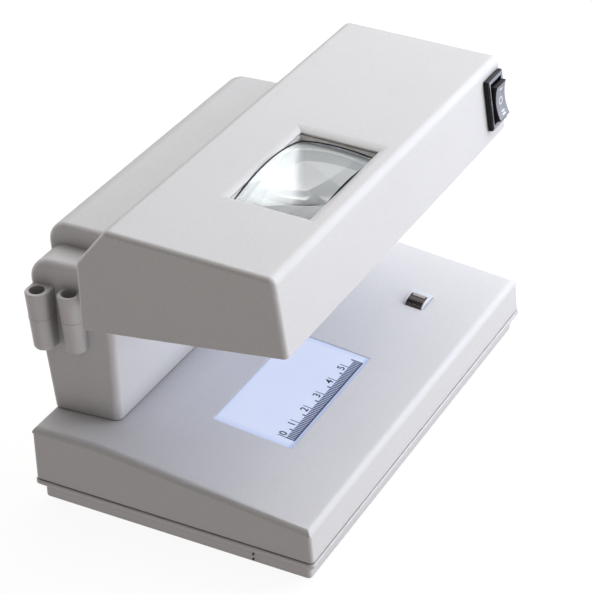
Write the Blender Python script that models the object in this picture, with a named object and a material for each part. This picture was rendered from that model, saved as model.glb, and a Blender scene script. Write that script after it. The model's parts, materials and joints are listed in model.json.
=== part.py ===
"""Counterfeit bill detector: magnifier head, ultraviolet lamp, backlit window and magnetic head.

Blender 4.5. X runs along the width, +Y is the rear, +Z is up. The origin is on the floor
below the middle of the object. Dimensions are in millimetres and are scaled to metres
when a mesh is made.
"""
import math

import bmesh
import bpy
from mathutils import Matrix, Vector

UNIT = 0.001
MERGE = 0.005
GAP = 0.3
WALL = 2.2
BOARD = 1.6

# Base
BASE_HALF = 91.1
BASE_FRONT = -59.0
BASE_FRONT_TOP = -58.0
BASE_REAR = 54.9
TRAY_BOTTOM = 1.5
RIM_BOTTOM = 8.0
RIM_TOP = 10.1
SHELL_BOTTOM = RIM_TOP + GAP
SHELL_FRONT_TOP = 24.1
PLATFORM_Z = 32.9
PLATFORM_FRONT = 27.6
DRAFT = 0.011

# Watermark window and magnetic head, both in the sloping top
WINDOW_X = (-54.2, 10.1)
WINDOW_Y = (-31.8, 0.8)
MAG_X = 55.4
MAG_Y = -31.2
MAG_HALF_X = 5.4
MAG_HALF_Y = 3.7
MAG_RISE = 2.2

# Rear housing: column, shoulder, block and pen holders
COLUMN_FRONT = PLATFORM_FRONT
COLUMN_FRONT_HALF = 74.3
COLUMN_REAR_HALF = 76.6
COLUMN_BOTTOM = PLATFORM_Z + GAP
SHOULDER_TOP = 95.4
BLOCK_X = (-63.0, 70.6)
BLOCK_TOP = 103.5
REAR_BOTTOM_Y = 54.6
REAR_TOP_Y = 59.6
REAR_ROUND = 8.5
REAR_LEAN_TOP = 86.5
BLOCK_FRONT = COLUMN_FRONT + 2.3
PEN_TOP = 85.8
PEN_BOTTOM = 61.5
PEN_RADIUS = 4.3
PEN_BORE = 2.9
PEN_DEPTH = 7.0

# Head
HEAD_HALF = 90.8
HEAD_PROFILE = ((-47.5, 122.0), (-51.5, 92.7), (29.4, 82.0), (29.0, 108.5), (16.4, 124.2))
LENS_WINDOW_X = (-52.5, 6.2)
LENS_WINDOW_Y = (-42.0, -5.1)
BEVEL_WIDTH = 3.0
BEVEL_DEPTH = 1.5
LENS_CURVE = 85.0
LENS_EDGE = 9.0

# Lamps
UV_Y = 8.0
UV_Z = 99.0
UV_RADIUS = 7.8
UV_HALF = 66.0
WHITE_Z = 13.5
WHITE_Y = -15.5
WHITE_RADIUS = 4.2

# Rocker switch
SWITCH_X = 81.5
SWITCH_Z = 107.7
PIVOT_DEPTH = 1.2

MATERIALS = {
    "white_shell": ((0.74, 0.74, 0.75), 0.42, 0.0),
    "dark_plastic": ((0.015, 0.015, 0.017), 0.35, 0.0),
    "opal": ((0.82, 0.86, 0.95), 0.30, 0.0),
    "glass": ((0.80, 0.86, 0.84), 0.03, 0.0),
    "uv_glass": ((0.03, 0.01, 0.07), 0.08, 0.0),
    "lamp_white": ((0.90, 0.91, 0.90), 0.25, 0.0),
    "steel": ((0.55, 0.55, 0.56), 0.28, 1.0),
    "aluminium": ((0.80, 0.80, 0.81), 0.25, 1.0),
    "brass": ((0.72, 0.52, 0.22), 0.30, 1.0),
    "rubber": ((0.03, 0.03, 0.03), 0.80, 0.0),
    "board": ((0.03, 0.22, 0.10), 0.45, 0.0),
    "copper": ((0.60, 0.24, 0.10), 0.35, 1.0),
    "wire": ((0.70, 0.06, 0.05), 0.45, 0.0),
    "black_wire": ((0.03, 0.03, 0.03), 0.50, 0.0),
    "lens_white": ((0.70, 0.70, 0.71), 0.50, 0.0),
}


def material(name):
    """Return the named Principled material, made on first use."""
    if name in bpy.data.materials:
        return bpy.data.materials[name]
    colour, roughness, metallic = MATERIALS[name]
    result = bpy.data.materials.new(name)
    result.use_nodes = True
    shader = result.node_tree.nodes["Principled BSDF"]
    shader.inputs["Base Color"].default_value = (*colour, 1.0)
    shader.inputs["Roughness"].default_value = roughness
    shader.inputs["Metallic"].default_value = metallic
    return result


def make(name, bm, material_name, tilt=0.0, place=(0.0, 0.0, 0.0)):
    """Turn a bmesh in millimetres into an object in metres, tilted about X and placed."""
    bmesh.ops.recalc_face_normals(bm, faces=bm.faces)
    bm.transform(Matrix.Scale(UNIT, 4))
    mesh = bpy.data.meshes.new(name)
    bm.to_mesh(mesh)
    bm.free()
    mesh.shade_smooth()
    mesh.set_sharp_from_angle(angle=math.radians(35))
    result = bpy.data.objects.new(name, mesh)
    bpy.context.scene.collection.objects.link(result)
    result.data.materials.append(material(material_name))
    result.location = Vector(place) * UNIT
    result.rotation_euler = (tilt, 0.0, 0.0)
    return result


def combine(target, operation, *tools):
    """Apply exact booleans of the tools to the target, then remove the tools."""
    bpy.context.view_layer.update()
    for tool in tools:
        modifier = target.modifiers.new(operation.lower(), "BOOLEAN")
        modifier.operation = operation
        modifier.object = tool
    graph = bpy.context.evaluated_depsgraph_get()
    result = bpy.data.meshes.new_from_object(target.evaluated_get(graph))
    target.modifiers.clear()
    target.data = result
    result.materials.clear()
    result.materials.append(tools[0].data.materials[0])
    for tool in tools:
        bpy.data.objects.remove(tool)
    result.shade_smooth()
    result.set_sharp_from_angle(angle=math.radians(35))
    return target


def cut(target, *tools):
    """Subtract the tools from the target and keep the target's material."""
    kept = target.data.materials[0]
    combine(target, "DIFFERENCE", *tools)
    target.data.materials[0] = kept


def fuse(target, *tools):
    """Join the tools to the target and keep the target's material."""
    kept = target.data.materials[0]
    combine(target, "UNION", *tools)
    target.data.materials[0] = kept


def hull(points):
    """Return the convex solid around the points, with flat faces merged."""
    bm = bmesh.new()
    for point in points:
        bm.verts.new(point)
    bmesh.ops.convex_hull(bm, input=bm.verts)
    loose = [vert for vert in bm.verts if not vert.link_faces]
    bmesh.ops.delete(bm, geom=loose, context="VERTS")
    bmesh.ops.dissolve_limit(bm, angle_limit=math.radians(0.5), verts=bm.verts, edges=bm.edges)
    return bm


def box(x, y, z):
    """Return a box between the low and high value of each axis."""
    return hull([(a, b, c) for a in x for b in y for c in z])


def prism(profile, x):
    """Return the convex profile of (y, z) points extruded between two x values."""
    return hull([(a, b, c) for a in x for b, c in profile])


def round_edges(bm, radius, segments, chosen=lambda low, high: True):
    """Bevel the sharp edges whose lower and upper corners pass the test."""
    edges = []
    for edge in bm.edges:
        low, high = sorted((vert.co for vert in edge.verts), key=lambda point: point.z)
        if chosen(low, high):
            edges.append(edge)
    bmesh.ops.bevel(bm, geom=edges, offset=radius, segments=segments, profile=0.5,
                    affect="EDGES", clamp_overlap=True)
    bmesh.ops.remove_doubles(bm, verts=bm.verts, dist=MERGE)
    return bm


def rod(radius, length, segments=24, axis="Z", centre=(0.0, 0.0, 0.0)):
    """Return a rod along one axis, centred on a point."""
    bm = bmesh.new()
    turns = {"X": Matrix.Rotation(math.radians(90), 4, "Y"),
             "Y": Matrix.Rotation(math.radians(-90), 4, "X"),
             "Z": Matrix.Identity(4)}
    bmesh.ops.create_cone(bm, cap_ends=True, segments=segments, radius1=radius, radius2=radius,
                          depth=length, matrix=Matrix.Translation(centre) @ turns[axis])
    return bm


def turned(profile, segments):
    """Spin an outline of (radius, height) points, from axis to axis, about Z."""
    bm = bmesh.new()
    verts = [bm.verts.new((radius, 0.0, height)) for radius, height in profile]
    edges = [bm.edges.new(pair) for pair in zip(verts, verts[1:])]
    bmesh.ops.spin(bm, geom=verts + edges, cent=(0.0, 0.0, 0.0), axis=(0.0, 0.0, 1.0),
                   angle=2 * math.pi, steps=segments)
    bmesh.ops.remove_doubles(bm, verts=bm.verts, dist=MERGE)
    return bm


def tool(bm, tilt=0.0, place=(0.0, 0.0, 0.0)):
    """Make a temporary solid for a boolean."""
    return make("tool", bm, "white_shell", tilt, place)


def inset(profile, distance, open_edge=None, extension=0.0):
    """Move each edge of a convex clockwise (y, z) profile inwards, one edge outwards instead."""
    lines = []
    count = len(profile)
    for index in range(count):
        start, end = Vector(profile[index]), Vector(profile[(index + 1) % count])
        along = (end - start).normalized()
        inward = Vector((-along.y, along.x))
        shift = -extension if index == open_edge else distance
        lines.append((start + inward * shift, along))
    points = []
    for index in range(count):
        (a, along_a), (b, along_b) = lines[index - 1], lines[index]
        cross = along_a.x * along_b.y - along_a.y * along_b.x
        step = ((b.x - a.x) * along_b.y - (b.y - a.y) * along_b.x) / cross
        points.append(tuple(a + along_a * step))
    return points


def slope_z(y):
    """Height of the base's top surface at y."""
    share = min(1.0, (y - BASE_FRONT_TOP) / (PLATFORM_FRONT - BASE_FRONT_TOP))
    return SHELL_FRONT_TOP + (PLATFORM_Z - SHELL_FRONT_TOP) * share


def rear_y(z):
    """Depth of the housing's leaning rear face at z."""
    share = (z - COLUMN_BOTTOM) / (REAR_LEAN_TOP - COLUMN_BOTTOM)
    return REAR_BOTTOM_Y + (REAR_TOP_Y - REAR_BOTTOM_Y) * min(1.0, share)


def head_bottom_z(y):
    """Height of the head's lower edge at y."""
    (front_y, front_z), (back_y, back_z) = HEAD_PROFILE[1], HEAD_PROFILE[2]
    return front_z + (back_z - front_z) * (y - front_y) / (back_y - front_y)


SLOPE_TILT = math.atan2(PLATFORM_Z - SHELL_FRONT_TOP, PLATFORM_FRONT - BASE_FRONT_TOP)


def tilt_between(low, high):
    """Angle about X of the line between two (y, z) corners of the head's profile."""
    return math.atan2(high[1] - low[1], high[0] - low[0])


HEAD_TOP_TILT = tilt_between(HEAD_PROFILE[0], HEAD_PROFILE[4])
UNDERSIDE_TILT = tilt_between(HEAD_PROFILE[1], HEAD_PROFILE[2])
FACE_TILT = tilt_between(HEAD_PROFILE[1], HEAD_PROFILE[0]) - math.pi / 2


# Base -----------------------------------------------------------------------------------

def base_solid(inward, bottom):
    """The base shell's outer form, or its hollow when moved inwards."""
    def side(z):
        return BASE_HALF - DRAFT * (z - SHELL_BOTTOM) - inward

    front, rear = BASE_FRONT + inward, BASE_REAR - inward
    outline = ((front, bottom), (BASE_FRONT_TOP + inward, SHELL_FRONT_TOP - inward),
               (PLATFORM_FRONT, PLATFORM_Z - inward), (rear, PLATFORM_Z - inward), (rear, bottom))
    return hull([(sign * side(z), y, z) for sign in (-1, 1) for y, z in outline])


SCREW_SPOTS = ((-80.0, -48.0), (80.0, -48.0), (-80.0, 44.0), (80.0, 44.0))
POST_RADIUS = 3.8
SCREW_HOLE = 1.7
CLEAR_HOLE = 1.8
COLUMN_SCREWS = (-55.0, 55.0)
HEAD_SCREW_Z = 88.0
PASSAGE_X = 30.0
HARNESS_X = 0.0
HARNESS_Y = 40.0
HARNESS_RADIUS = 5.0


def base_top_shell():
    """Base cover with the sloping work surface and the rear platform."""
    outer = round_edges(base_solid(0.0, SHELL_BOTTOM), 2.6, 4, lambda low, high: low.z > SHELL_BOTTOM + 1.0
                        and abs((low.y + high.y) / 2 - PLATFORM_FRONT) > 1.0)
    outer = round_edges(outer, 1.4, 3,
                        lambda low, high: low.z < SHELL_BOTTOM + 0.1 and high.z > SHELL_BOTTOM + 5.0)
    shell = make("base_top_shell", outer, "white_shell")
    cut(shell, tool(base_solid(WALL, SHELL_BOTTOM - 5.0)))
    posts = []
    for x, y in SCREW_SPOTS:
        low, high = SHELL_BOTTOM + 0.6, slope_z(y) - 1.0
        posts.append(tool(rod(POST_RADIUS, high - low, centre=(x, y, (low + high) / 2))))
    fuse(shell, *posts)
    holes = []
    for x, y in SCREW_SPOTS:
        holes.append(tool(rod(SCREW_HOLE, 7.0, 16, centre=(x, y, SHELL_BOTTOM + 3.5))))
    middle_y = sum(WINDOW_Y) / 2
    depth = WINDOW_Y[1] - WINDOW_Y[0]
    holes.append(tool(box(WINDOW_X, (-depth / 2, depth / 2), (-6.0, 6.0)), SLOPE_TILT,
                      (0.0, middle_y, slope_z(middle_y))))
    slot = box((-MAG_HALF_X - 0.7, MAG_HALF_X + 0.7), (-MAG_HALF_Y - 0.7, MAG_HALF_Y + 0.7), (-6.0, 6.0))
    holes.append(tool(slot, SLOPE_TILT, (MAG_X, MAG_Y, slope_z(MAG_Y))))
    for x in COLUMN_SCREWS:
        holes.append(tool(rod(CLEAR_HOLE, 12.0, 16, centre=(x, HARNESS_Y, PLATFORM_Z))))
    holes.append(tool(rod(HARNESS_RADIUS, 12.0, centre=(HARNESS_X, HARNESS_Y, PLATFORM_Z))))
    cut(shell, *holes)
    return shell


def base_tray():
    """Bottom tray: proud rim, recessed wall and screw posts."""
    inward = 2.0
    proud = 0.5

    def band(grow, low, high):
        x = (-BASE_HALF - grow, BASE_HALF + grow)
        return box(x, (BASE_FRONT - grow, BASE_REAR + grow), (low, high))

    wall = round_edges(band(-inward, TRAY_BOTTOM, RIM_TOP - 0.5), 1.0, 3,
                       lambda low, high: low.z < RIM_TOP - 1.0)
    tray = make("base_tray", wall, "white_shell")
    rim = round_edges(band(proud, RIM_BOTTOM, RIM_TOP), 1.8, 3, lambda low, high: high.z - low.z > 1.0)
    rim = round_edges(rim, 0.35, 2, lambda low, high: low.z > RIM_TOP - 0.01)
    fuse(tray, tool(rim))
    posts = []
    for x, y in SCREW_SPOTS:
        posts.append(tool(rod(4.8, 7.4, centre=(x, y, 6.6))))
    cut(tray, tool(band(-inward - WALL, TRAY_BOTTOM + WALL, RIM_TOP + 5.0)))
    fuse(tray, *posts)
    holes = []
    for x, y in SCREW_SPOTS:
        holes.append(tool(rod(3.3, 10.0, centre=(x, y, 1.4))))
        holes.append(tool(rod(CLEAR_HOLE, 20.0, 16, centre=(x, y, 6.0))))
    cut(tray, *holes)
    return tray


def screw(name, length, head_radius, place, turn=0.0):
    """Screw with a socket in its round head, pointing up, or turned about X."""
    head = 1.8
    socket = 0.9
    shaft = 1.4
    bm = turned([(0.0, 1.0 - head), (socket, 1.0 - head), (socket, -head), (head_radius * 0.75, -head),
                 (head_radius, -head * 0.45), (head_radius, 0.0), (shaft, 0.0), (shaft, length * 0.8),
                 (0.3, length), (0.0, length)], 16)
    return make(name, bm, "steel", math.radians(turn), place)


def base_screws_and_feet():
    """Tray screws from below, and the rubber feet beside them."""
    names = ("front_left", "front_right", "rear_left", "rear_right")
    for name, (x, y) in zip(names, SCREW_SPOTS):
        screw("tray_screw_" + name, 9.0, 2.9, (x, y, 6.4 - GAP))
        foot_x = x - math.copysign(13.0, x)
        foot = turned([(0.0, 0.0), (5.2, 0.0), (6.0, 0.5), (6.0, TRAY_BOTTOM - GAP),
                       (0.0, TRAY_BOTTOM - GAP)], 24)
        make("foot_" + name, foot, "rubber", place=(foot_x, y, 0.0))
    for name, x in zip(("left", "right"), COLUMN_SCREWS):
        screw("column_screw_" + name, 8.0, 3.0, (x, HARNESS_Y, PLATFORM_Z - WALL - GAP))


def watermark_window():
    """Opal diffuser: a plate flush with the slope and a flange under the shell."""
    half_x = (WINDOW_X[1] - WINDOW_X[0]) / 2
    half_y = (WINDOW_Y[1] - WINDOW_Y[0]) / 2
    middle = (sum(WINDOW_X) / 2, sum(WINDOW_Y) / 2)
    place = (middle[0], middle[1], slope_z(middle[1]))
    plate = box((-half_x + GAP, half_x - GAP), (-half_y + GAP, half_y - GAP), (-WALL - 1.2, -0.1))
    plate = round_edges(plate, 0.3, 2, lambda low, high: low.z > -1.0)
    window = make("watermark_window", plate, "opal", SLOPE_TILT, place)
    flange = box((-half_x - 2.5, half_x + 2.5), (-half_y - 2.5, half_y + 2.5), (-WALL - 1.6, -WALL - GAP))
    fuse(window, tool(flange, SLOPE_TILT, place))
    return window


def white_lamp():
    """White tube below the window, its end caps, holders and reflector."""
    middle = sum(WINDOW_X) / 2
    half = 29.0
    cap_length = 6.0
    pins = (WHITE_Y - 1.6, WHITE_Y + 1.6)
    floor = TRAY_BOTTOM + WALL + GAP
    make("white_lamp_glass", rod(WHITE_RADIUS, 2 * half, 24, "X", (middle, WHITE_Y, WHITE_Z)), "lamp_white")
    for name, sign in (("left", -1), ("right", 1)):
        cap_x = middle + sign * (half + GAP + cap_length / 2)
        cap_rod = rod(WHITE_RADIUS + 0.3, cap_length, 24, "X", (cap_x, WHITE_Y, WHITE_Z))
        cap = make("white_lamp_cap_" + name, cap_rod, "aluminium")
        fuse(cap, *[tool(rod(0.5, 4.0, 8, "X", (cap_x + sign * 4.5, y, WHITE_Z))) for y in pins])
        low_x = cap_x + sign * (cap_length / 2 + GAP)
        x_range = sorted((low_x, low_x + sign * 4.0))
        block = round_edges(box(x_range, (WHITE_Y - 6.0, WHITE_Y + 6.0), (floor, 19.0)), 1.0, 2,
                            lambda low, high: low.z > 15.0)
        holder = make("white_lamp_holder_" + name, block, "white_shell")
        cut(holder, *[tool(rod(0.9, 20.0, 8, "X", (low_x, y, WHITE_Z))) for y in pins])
    block = box((middle - half, middle + half), (WHITE_Y - 13.0, WHITE_Y + 13.0), (floor, 17.0))
    reflector = make("white_lamp_reflector", block, "aluminium")
    trough = ((5.0, floor + 1.0), (12.0, floor + 8.0), (12.0, 30.0))
    cut(reflector, tool(hull([(x, WHITE_Y + sign * y, z) for x in (middle - 60.0, middle + 60.0)
                              for sign in (-1, 1) for y, z in trough])))


def magnetic_sensor():
    """Magnetic head in the slope, its holder, the amplifier board and the buzzer."""
    place = (MAG_X, MAG_Y, slope_z(MAG_Y))
    ends = (-MAG_HALF_Y, MAG_HALF_Y)
    arc = []
    for step in range(9):
        angle = math.pi * step / 8
        rise = MAG_RISE * math.sin(angle) ** 0.7 if 0 < step < 8 else 0.0
        arc.append((MAG_HALF_X * math.cos(angle), rise))
    core = hull([(x, y, z) for x, z in arc for y in ends]
                + [(x, y, -7.0) for x in (-MAG_HALF_X, MAG_HALF_X) for y in ends])
    make("magnetic_head", core, "steel", SLOPE_TILT, place)
    holder = box((-9.0, 9.0), (-7.0, 7.0), (-12.0, -WALL - GAP))
    holder = make("magnetic_head_holder", holder, "dark_plastic", SLOPE_TILT, place)
    pocket = box((-MAG_HALF_X - 0.4, MAG_HALF_X + 0.4), (-MAG_HALF_Y - 0.4, MAG_HALF_Y + 0.4), (-9.5, 5.0))
    cut(holder, tool(pocket, SLOPE_TILT, place))
    board_z = TRAY_BOTTOM + WALL + 3.0
    board_x, board_y = (36.0, 74.0), (-46.0, 10.0)
    board = make("amplifier_board", box(board_x, board_y, (board_z, board_z + BOARD)), "board")
    border = 3.5
    corners = [(x, y) for x in (board_x[0] + border, board_x[1] - border)
               for y in (board_y[0] + border, board_y[1] - border)]
    fuse(board, *[tool(rod(2.0, 3.0, 12, centre=(x, y, board_z - 1.2))) for x, y in corners])
    outline = [(0.0, 0.0), (6.4, 0.0), (6.4, 5.4), (6.0, 6.0), (1.2, 6.0), (1.2, 4.0), (0.0, 4.0)]
    make("buzzer", turned(outline, 24), "dark_plastic", place=(60.0, -2.0, board_z + BOARD + GAP))


# Rear housing ---------------------------------------------------------------------------

def housing_profile(front, bottom, top, inward):
    """Side outline of the column or the block, with its leaning rear and rounded rear-top edge."""
    points = [(front + inward, bottom), (front + inward, top - inward), (rear_y(bottom) - inward, bottom)]
    centre_y, centre_z = REAR_TOP_Y - REAR_ROUND, top - REAR_ROUND
    reach = REAR_ROUND - inward
    for step in range(7):
        angle = math.pi / 2 * step / 6
        points.append((centre_y + reach * math.cos(angle), centre_z + reach * math.sin(angle)))
    if top > SHOULDER_TOP:
        return points
    return points + [(REAR_TOP_Y - inward, REAR_LEAN_TOP)]


def column_solid(inward, bottom):
    """Column body, wider at the rear than at the front."""
    points = []
    for y, z in housing_profile(COLUMN_FRONT, bottom, SHOULDER_TOP, inward):
        share = (y - COLUMN_FRONT) / (REAR_TOP_Y - COLUMN_FRONT)
        half = COLUMN_FRONT_HALF + (COLUMN_REAR_HALF - COLUMN_FRONT_HALF) * share - inward
        points += [(-half, y, z), (half, y, z)]
    return hull(points)


def block_solid(inward, bottom):
    """Upper block behind the head."""
    profile = housing_profile(BLOCK_FRONT, bottom, BLOCK_TOP, inward)
    return prism(profile, (BLOCK_X[0] + inward, BLOCK_X[1] - inward))


def rear_slab(x, z, depth):
    """Box that follows the leaning rear face, between two depths below it."""
    return hull([(a, rear_y(c) - d, c) for a in x for c in z for d in depth])


def pen_holder(x, y):
    """Solid pen socket leaning towards the column, with its web, before boring."""
    points = []
    for z, centre, radius in ((PEN_TOP, x, PEN_RADIUS), (PEN_BOTTOM + 1.2, x + 2.1, PEN_RADIUS - 0.15),
                              (PEN_BOTTOM, x + 2.2, PEN_RADIUS - 1.2)):
        for step in range(13):
            angle = math.pi * (0.5 + step / 12)
            points.append((centre + radius * math.cos(angle), y + radius * math.sin(angle), z))
        points += [(-72.5, y - radius, z), (-72.5, y + radius, z)]
    return hull(points)


def ring(x, y, z, radius):
    """Twenty-four points of a level circle."""
    return [(x + radius * math.cos(math.pi * step / 12), y + radius * math.sin(math.pi * step / 12), z)
            for step in range(24)]


PEN_SPOTS = ((-80.8, 53.5), (-78.0, 41.9))
INLET_Z = 52.5
COVER_SCREW_Z = 63.0
COVER_SCREW_X = 43.8


def rear_housing():
    """Column, shoulder, upper block and two pen sockets in one moulding."""
    column = round_edges(column_solid(0.0, COLUMN_BOTTOM), 1.8, 3,
                         lambda low, high: high.z > COLUMN_BOTTOM + 0.1)
    housing = make("rear_housing", column, "white_shell")
    block = round_edges(block_solid(0.0, SHOULDER_TOP - 15.0), 2.0, 3,
                        lambda low, high: abs(low.x - high.x) < 0.1)
    fuse(housing, tool(block))
    fuse(housing, *[tool(pen_holder(x, y)) for x, y in PEN_SPOTS])
    cut(housing, tool(column_solid(WALL, COLUMN_BOTTOM + WALL)))
    cut(housing, tool(block_solid(WALL, COLUMN_BOTTOM + 30.0)))
    head_room = box((-95.0, 95.0), (COLUMN_FRONT - 5.0, COLUMN_FRONT + 2.1), (81.2, 130.0))
    tools = [tool(head_room)]
    for x, y in PEN_SPOTS:
        bore = ring(x + 0.2, y, PEN_TOP + 1.0, PEN_BORE) + ring(x + 0.2, y, PEN_TOP - PEN_DEPTH, PEN_BORE)
        tip = ring(x + 0.6, y, PEN_TOP - PEN_DEPTH + 0.5, 2.0) + ring(x + 1.6, y, PEN_BOTTOM + 4.0, 1.5)
        tools += [tool(hull(bore)), tool(hull(tip))]
    cut(housing, *tools)
    fuse(housing, tool(box((-73.0, 73.0), (BLOCK_FRONT - 0.05, BLOCK_FRONT + 2.5), (79.0, 94.0))))
    fuse(housing, tool(rear_slab((-51.0, 51.0), (38.0, 85.0), (0.3, 4.6))))
    for x in COLUMN_SCREWS:
        fuse(housing, tool(rod(4.0, 9.0, 20, centre=(x, HARNESS_Y, COLUMN_BOTTOM + 5.0))))
    wall_y = COLUMN_FRONT + 4.0
    tools = [tool(rear_slab((-46.3, 46.3), (42.0, 82.0), (-5.0, 2.3))),
             tool(rear_slab((-41.0, 41.0), (46.5, 77.5), (-5.0, 9.0))),
             tool(rod(HARNESS_RADIUS, 12.0, 24, centre=(HARNESS_X, HARNESS_Y, COLUMN_BOTTOM))),
             tool(rod(HARNESS_RADIUS, 12.0, 24, "Y", (PASSAGE_X, wall_y, HEAD_SCREW_Z)))]
    for x in COLUMN_SCREWS:
        tools.append(tool(rod(SCREW_HOLE, 18.0, 16, centre=(x, HARNESS_Y, COLUMN_BOTTOM))))
        tools.append(tool(rod(CLEAR_HOLE, 12.0, 16, "Y", (x, wall_y, HEAD_SCREW_Z))))
    screw_y = rear_y(COVER_SCREW_Z)
    for x in (-COVER_SCREW_X, COVER_SCREW_X):
        tools.append(tool(rod(SCREW_HOLE, 12.0, 16, "Y", (x, screw_y, COVER_SCREW_Z))))
    cut(housing, *tools)
    return housing


def rear_cover():
    """Cover set flush in the rear face, with the hole for the power inlet and two screws."""
    cover = make("rear_cover", round_edges(rear_slab((-46.0, 46.0), (42.3, 81.7), (0.0, 2.0)), 0.3, 2),
                 "white_shell")
    inlet_y = rear_y(INLET_Z)
    tools = [tool(box((-25.3, -3.7), (inlet_y - 10.0, inlet_y + 10.0), (46.9, 58.1)))]
    screw_y = rear_y(COVER_SCREW_Z)
    for x in (-COVER_SCREW_X, COVER_SCREW_X):
        tools.append(tool(rod(1.7, 20.0, 16, "Y", (x, screw_y, COVER_SCREW_Z))))
    cut(cover, *tools)
    for name, x in (("left", -COVER_SCREW_X), ("right", COVER_SCREW_X)):
        screw("cover_screw_" + name, 6.0, 2.65, (x, screw_y + GAP + 0.15, COVER_SCREW_Z), 90.0)
    return cover


def electrics():
    """Power inlet, ballast and lamp driver board in the column."""
    inlet_y = rear_y(INLET_Z)
    block = box((-25.0, -4.0), (inlet_y - 12.0, inlet_y - 0.2), (47.2, 57.8))
    inlet = make("power_inlet", block, "dark_plastic")
    fuse(inlet, tool(box((-27.0, -2.0), (inlet_y - 5.0, inlet_y - 3.2), (47.0, 60.0))))
    socket = round_edges(box((-22.3, -6.7), (inlet_y - 9.0, inlet_y + 5.0), (48.4, 56.6)), 4.0, 5,
                         lambda low, high: abs(low.y - high.y) > 1.0)
    cut(inlet, tool(socket))
    fuse(inlet, *[tool(rod(1.2, 9.0, 12, "Y", (x, inlet_y - 6.0, INLET_Z))) for x in (-18.8, -10.2)])
    floor = COLUMN_BOTTOM + WALL + GAP
    core = make("ballast_core", box((12.0, 44.0), (31.0, 47.0), (floor, floor + 27.0)), "steel")
    cut(core, *[tool(box((x, x + 7.0), (20.0, 60.0), (floor + 5.5, floor + 21.5))) for x in (16.5, 32.5)])
    winding = round_edges(box((17.0, 39.0), (30.2, 47.9), (floor + 6.0, floor + 21.0)), 1.0, 2)
    coil = make("ballast_winding", winding, "copper")
    cut(coil, tool(box((23.5 - GAP, 32.5 + GAP), (31.0 - GAP, 47.0 + GAP), (floor - 5.0, floor + 40.0))))
    board_y = 32.0
    face_y = board_y + BOARD
    board = make("lamp_driver_board", box((-62.0, -28.5), (board_y, face_y), (floor, floor + 40.0)), "board")
    for x, z, height in ((-59.0, floor + 10.0, 7.0), (-44.0, floor + 8.0, 4.5), (-56.0, floor + 28.0, 6.0)):
        fuse(board, tool(box((x, x + 8.0), (face_y - 0.6, face_y + height), (z, z + 9.0))))
    make("capacitor", rod(5.0, 15.0, 20, "Y", (-38.0, face_y + GAP + 7.5, floor + 32.0)), "dark_plastic")


# Head -----------------------------------------------------------------------------------

def top_place(x, y):
    """Point of the head's top plane above (x, y)."""
    low_y, low_z = HEAD_PROFILE[0]
    return (x, y, low_z + math.tan(HEAD_TOP_TILT) * (y - low_y))


def face_place(x, z):
    """Point of the head's front face at (x, z)."""
    top_y, top_z = HEAD_PROFILE[0]
    return (x, top_y - math.tan(-FACE_TILT) * (top_z - z), z)


LENS_MIDDLE = (sum(LENS_WINDOW_X) / 2, sum(LENS_WINDOW_Y) / 2)
LENS_HALF_X = (LENS_WINDOW_X[1] - LENS_WINDOW_X[0]) / 2
LENS_HALF_Y = (LENS_WINDOW_Y[1] - LENS_WINDOW_Y[0]) / 2
OPEN_HALF_X = LENS_HALF_X - BEVEL_WIDTH
OPEN_HALF_Y = LENS_HALF_Y - BEVEL_WIDTH


def head_shell():
    """Head cover, open below, with the bevelled lens window and the switch opening."""
    outer = prism(HEAD_PROFILE, (-HEAD_HALF, HEAD_HALF))
    lowest = HEAD_PROFILE[1][1]
    front_y = HEAD_PROFILE[0][0]
    outer = round_edges(outer, 2.8, 4, lambda low, high: low.z > lowest + 1.0 and high.y < front_y + 0.1)
    outer = round_edges(outer, 1.9, 3, lambda low, high: high.z > lowest + 0.1
                        and (abs(low.x - high.x) < 0.1 or low.y > front_y + 10.0 and low.z > lowest))
    shell = make("head_shell", outer, "white_shell")
    hollow = prism(inset(HEAD_PROFILE, WALL, 1, 12.0), (-HEAD_HALF + WALL, HEAD_HALF - WALL))
    cut(shell, tool(hollow))
    place = top_place(*LENS_MIDDLE)
    spread = 2.0 * BEVEL_WIDTH
    upper = (LENS_HALF_X + spread, LENS_HALF_Y + spread, 2 * BEVEL_DEPTH)
    lower = (OPEN_HALF_X, OPEN_HALF_Y, -BEVEL_DEPTH)
    flare = hull([(side_x * x, side_y * y, z) for x, y, z in (upper, lower)
                  for side_x in (-1, 1) for side_y in (-1, 1)])
    opening = box((-OPEN_HALF_X, OPEN_HALF_X), (-OPEN_HALF_Y, OPEN_HALF_Y), (-9.0, 1.0))
    switch_hole = box((-6.3, 6.3), (-6.0, 14.0), (-9.6, 9.6))
    passage = rod(5.0, 12.0, 24, "Y", (30.0, HEAD_PROFILE[2][0], 88.0))
    tools = [tool(flare, HEAD_TOP_TILT, place), tool(opening, HEAD_TOP_TILT, place),
             tool(switch_hole, FACE_TILT, face_place(SWITCH_X, SWITCH_Z)), tool(passage)]
    tools += [tool(rod(1.8, 12.0, 16, "Y", (x, HEAD_PROFILE[2][0], 88.0))) for x in COLUMN_SCREWS]
    cut(shell, *tools)
    return shell


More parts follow.
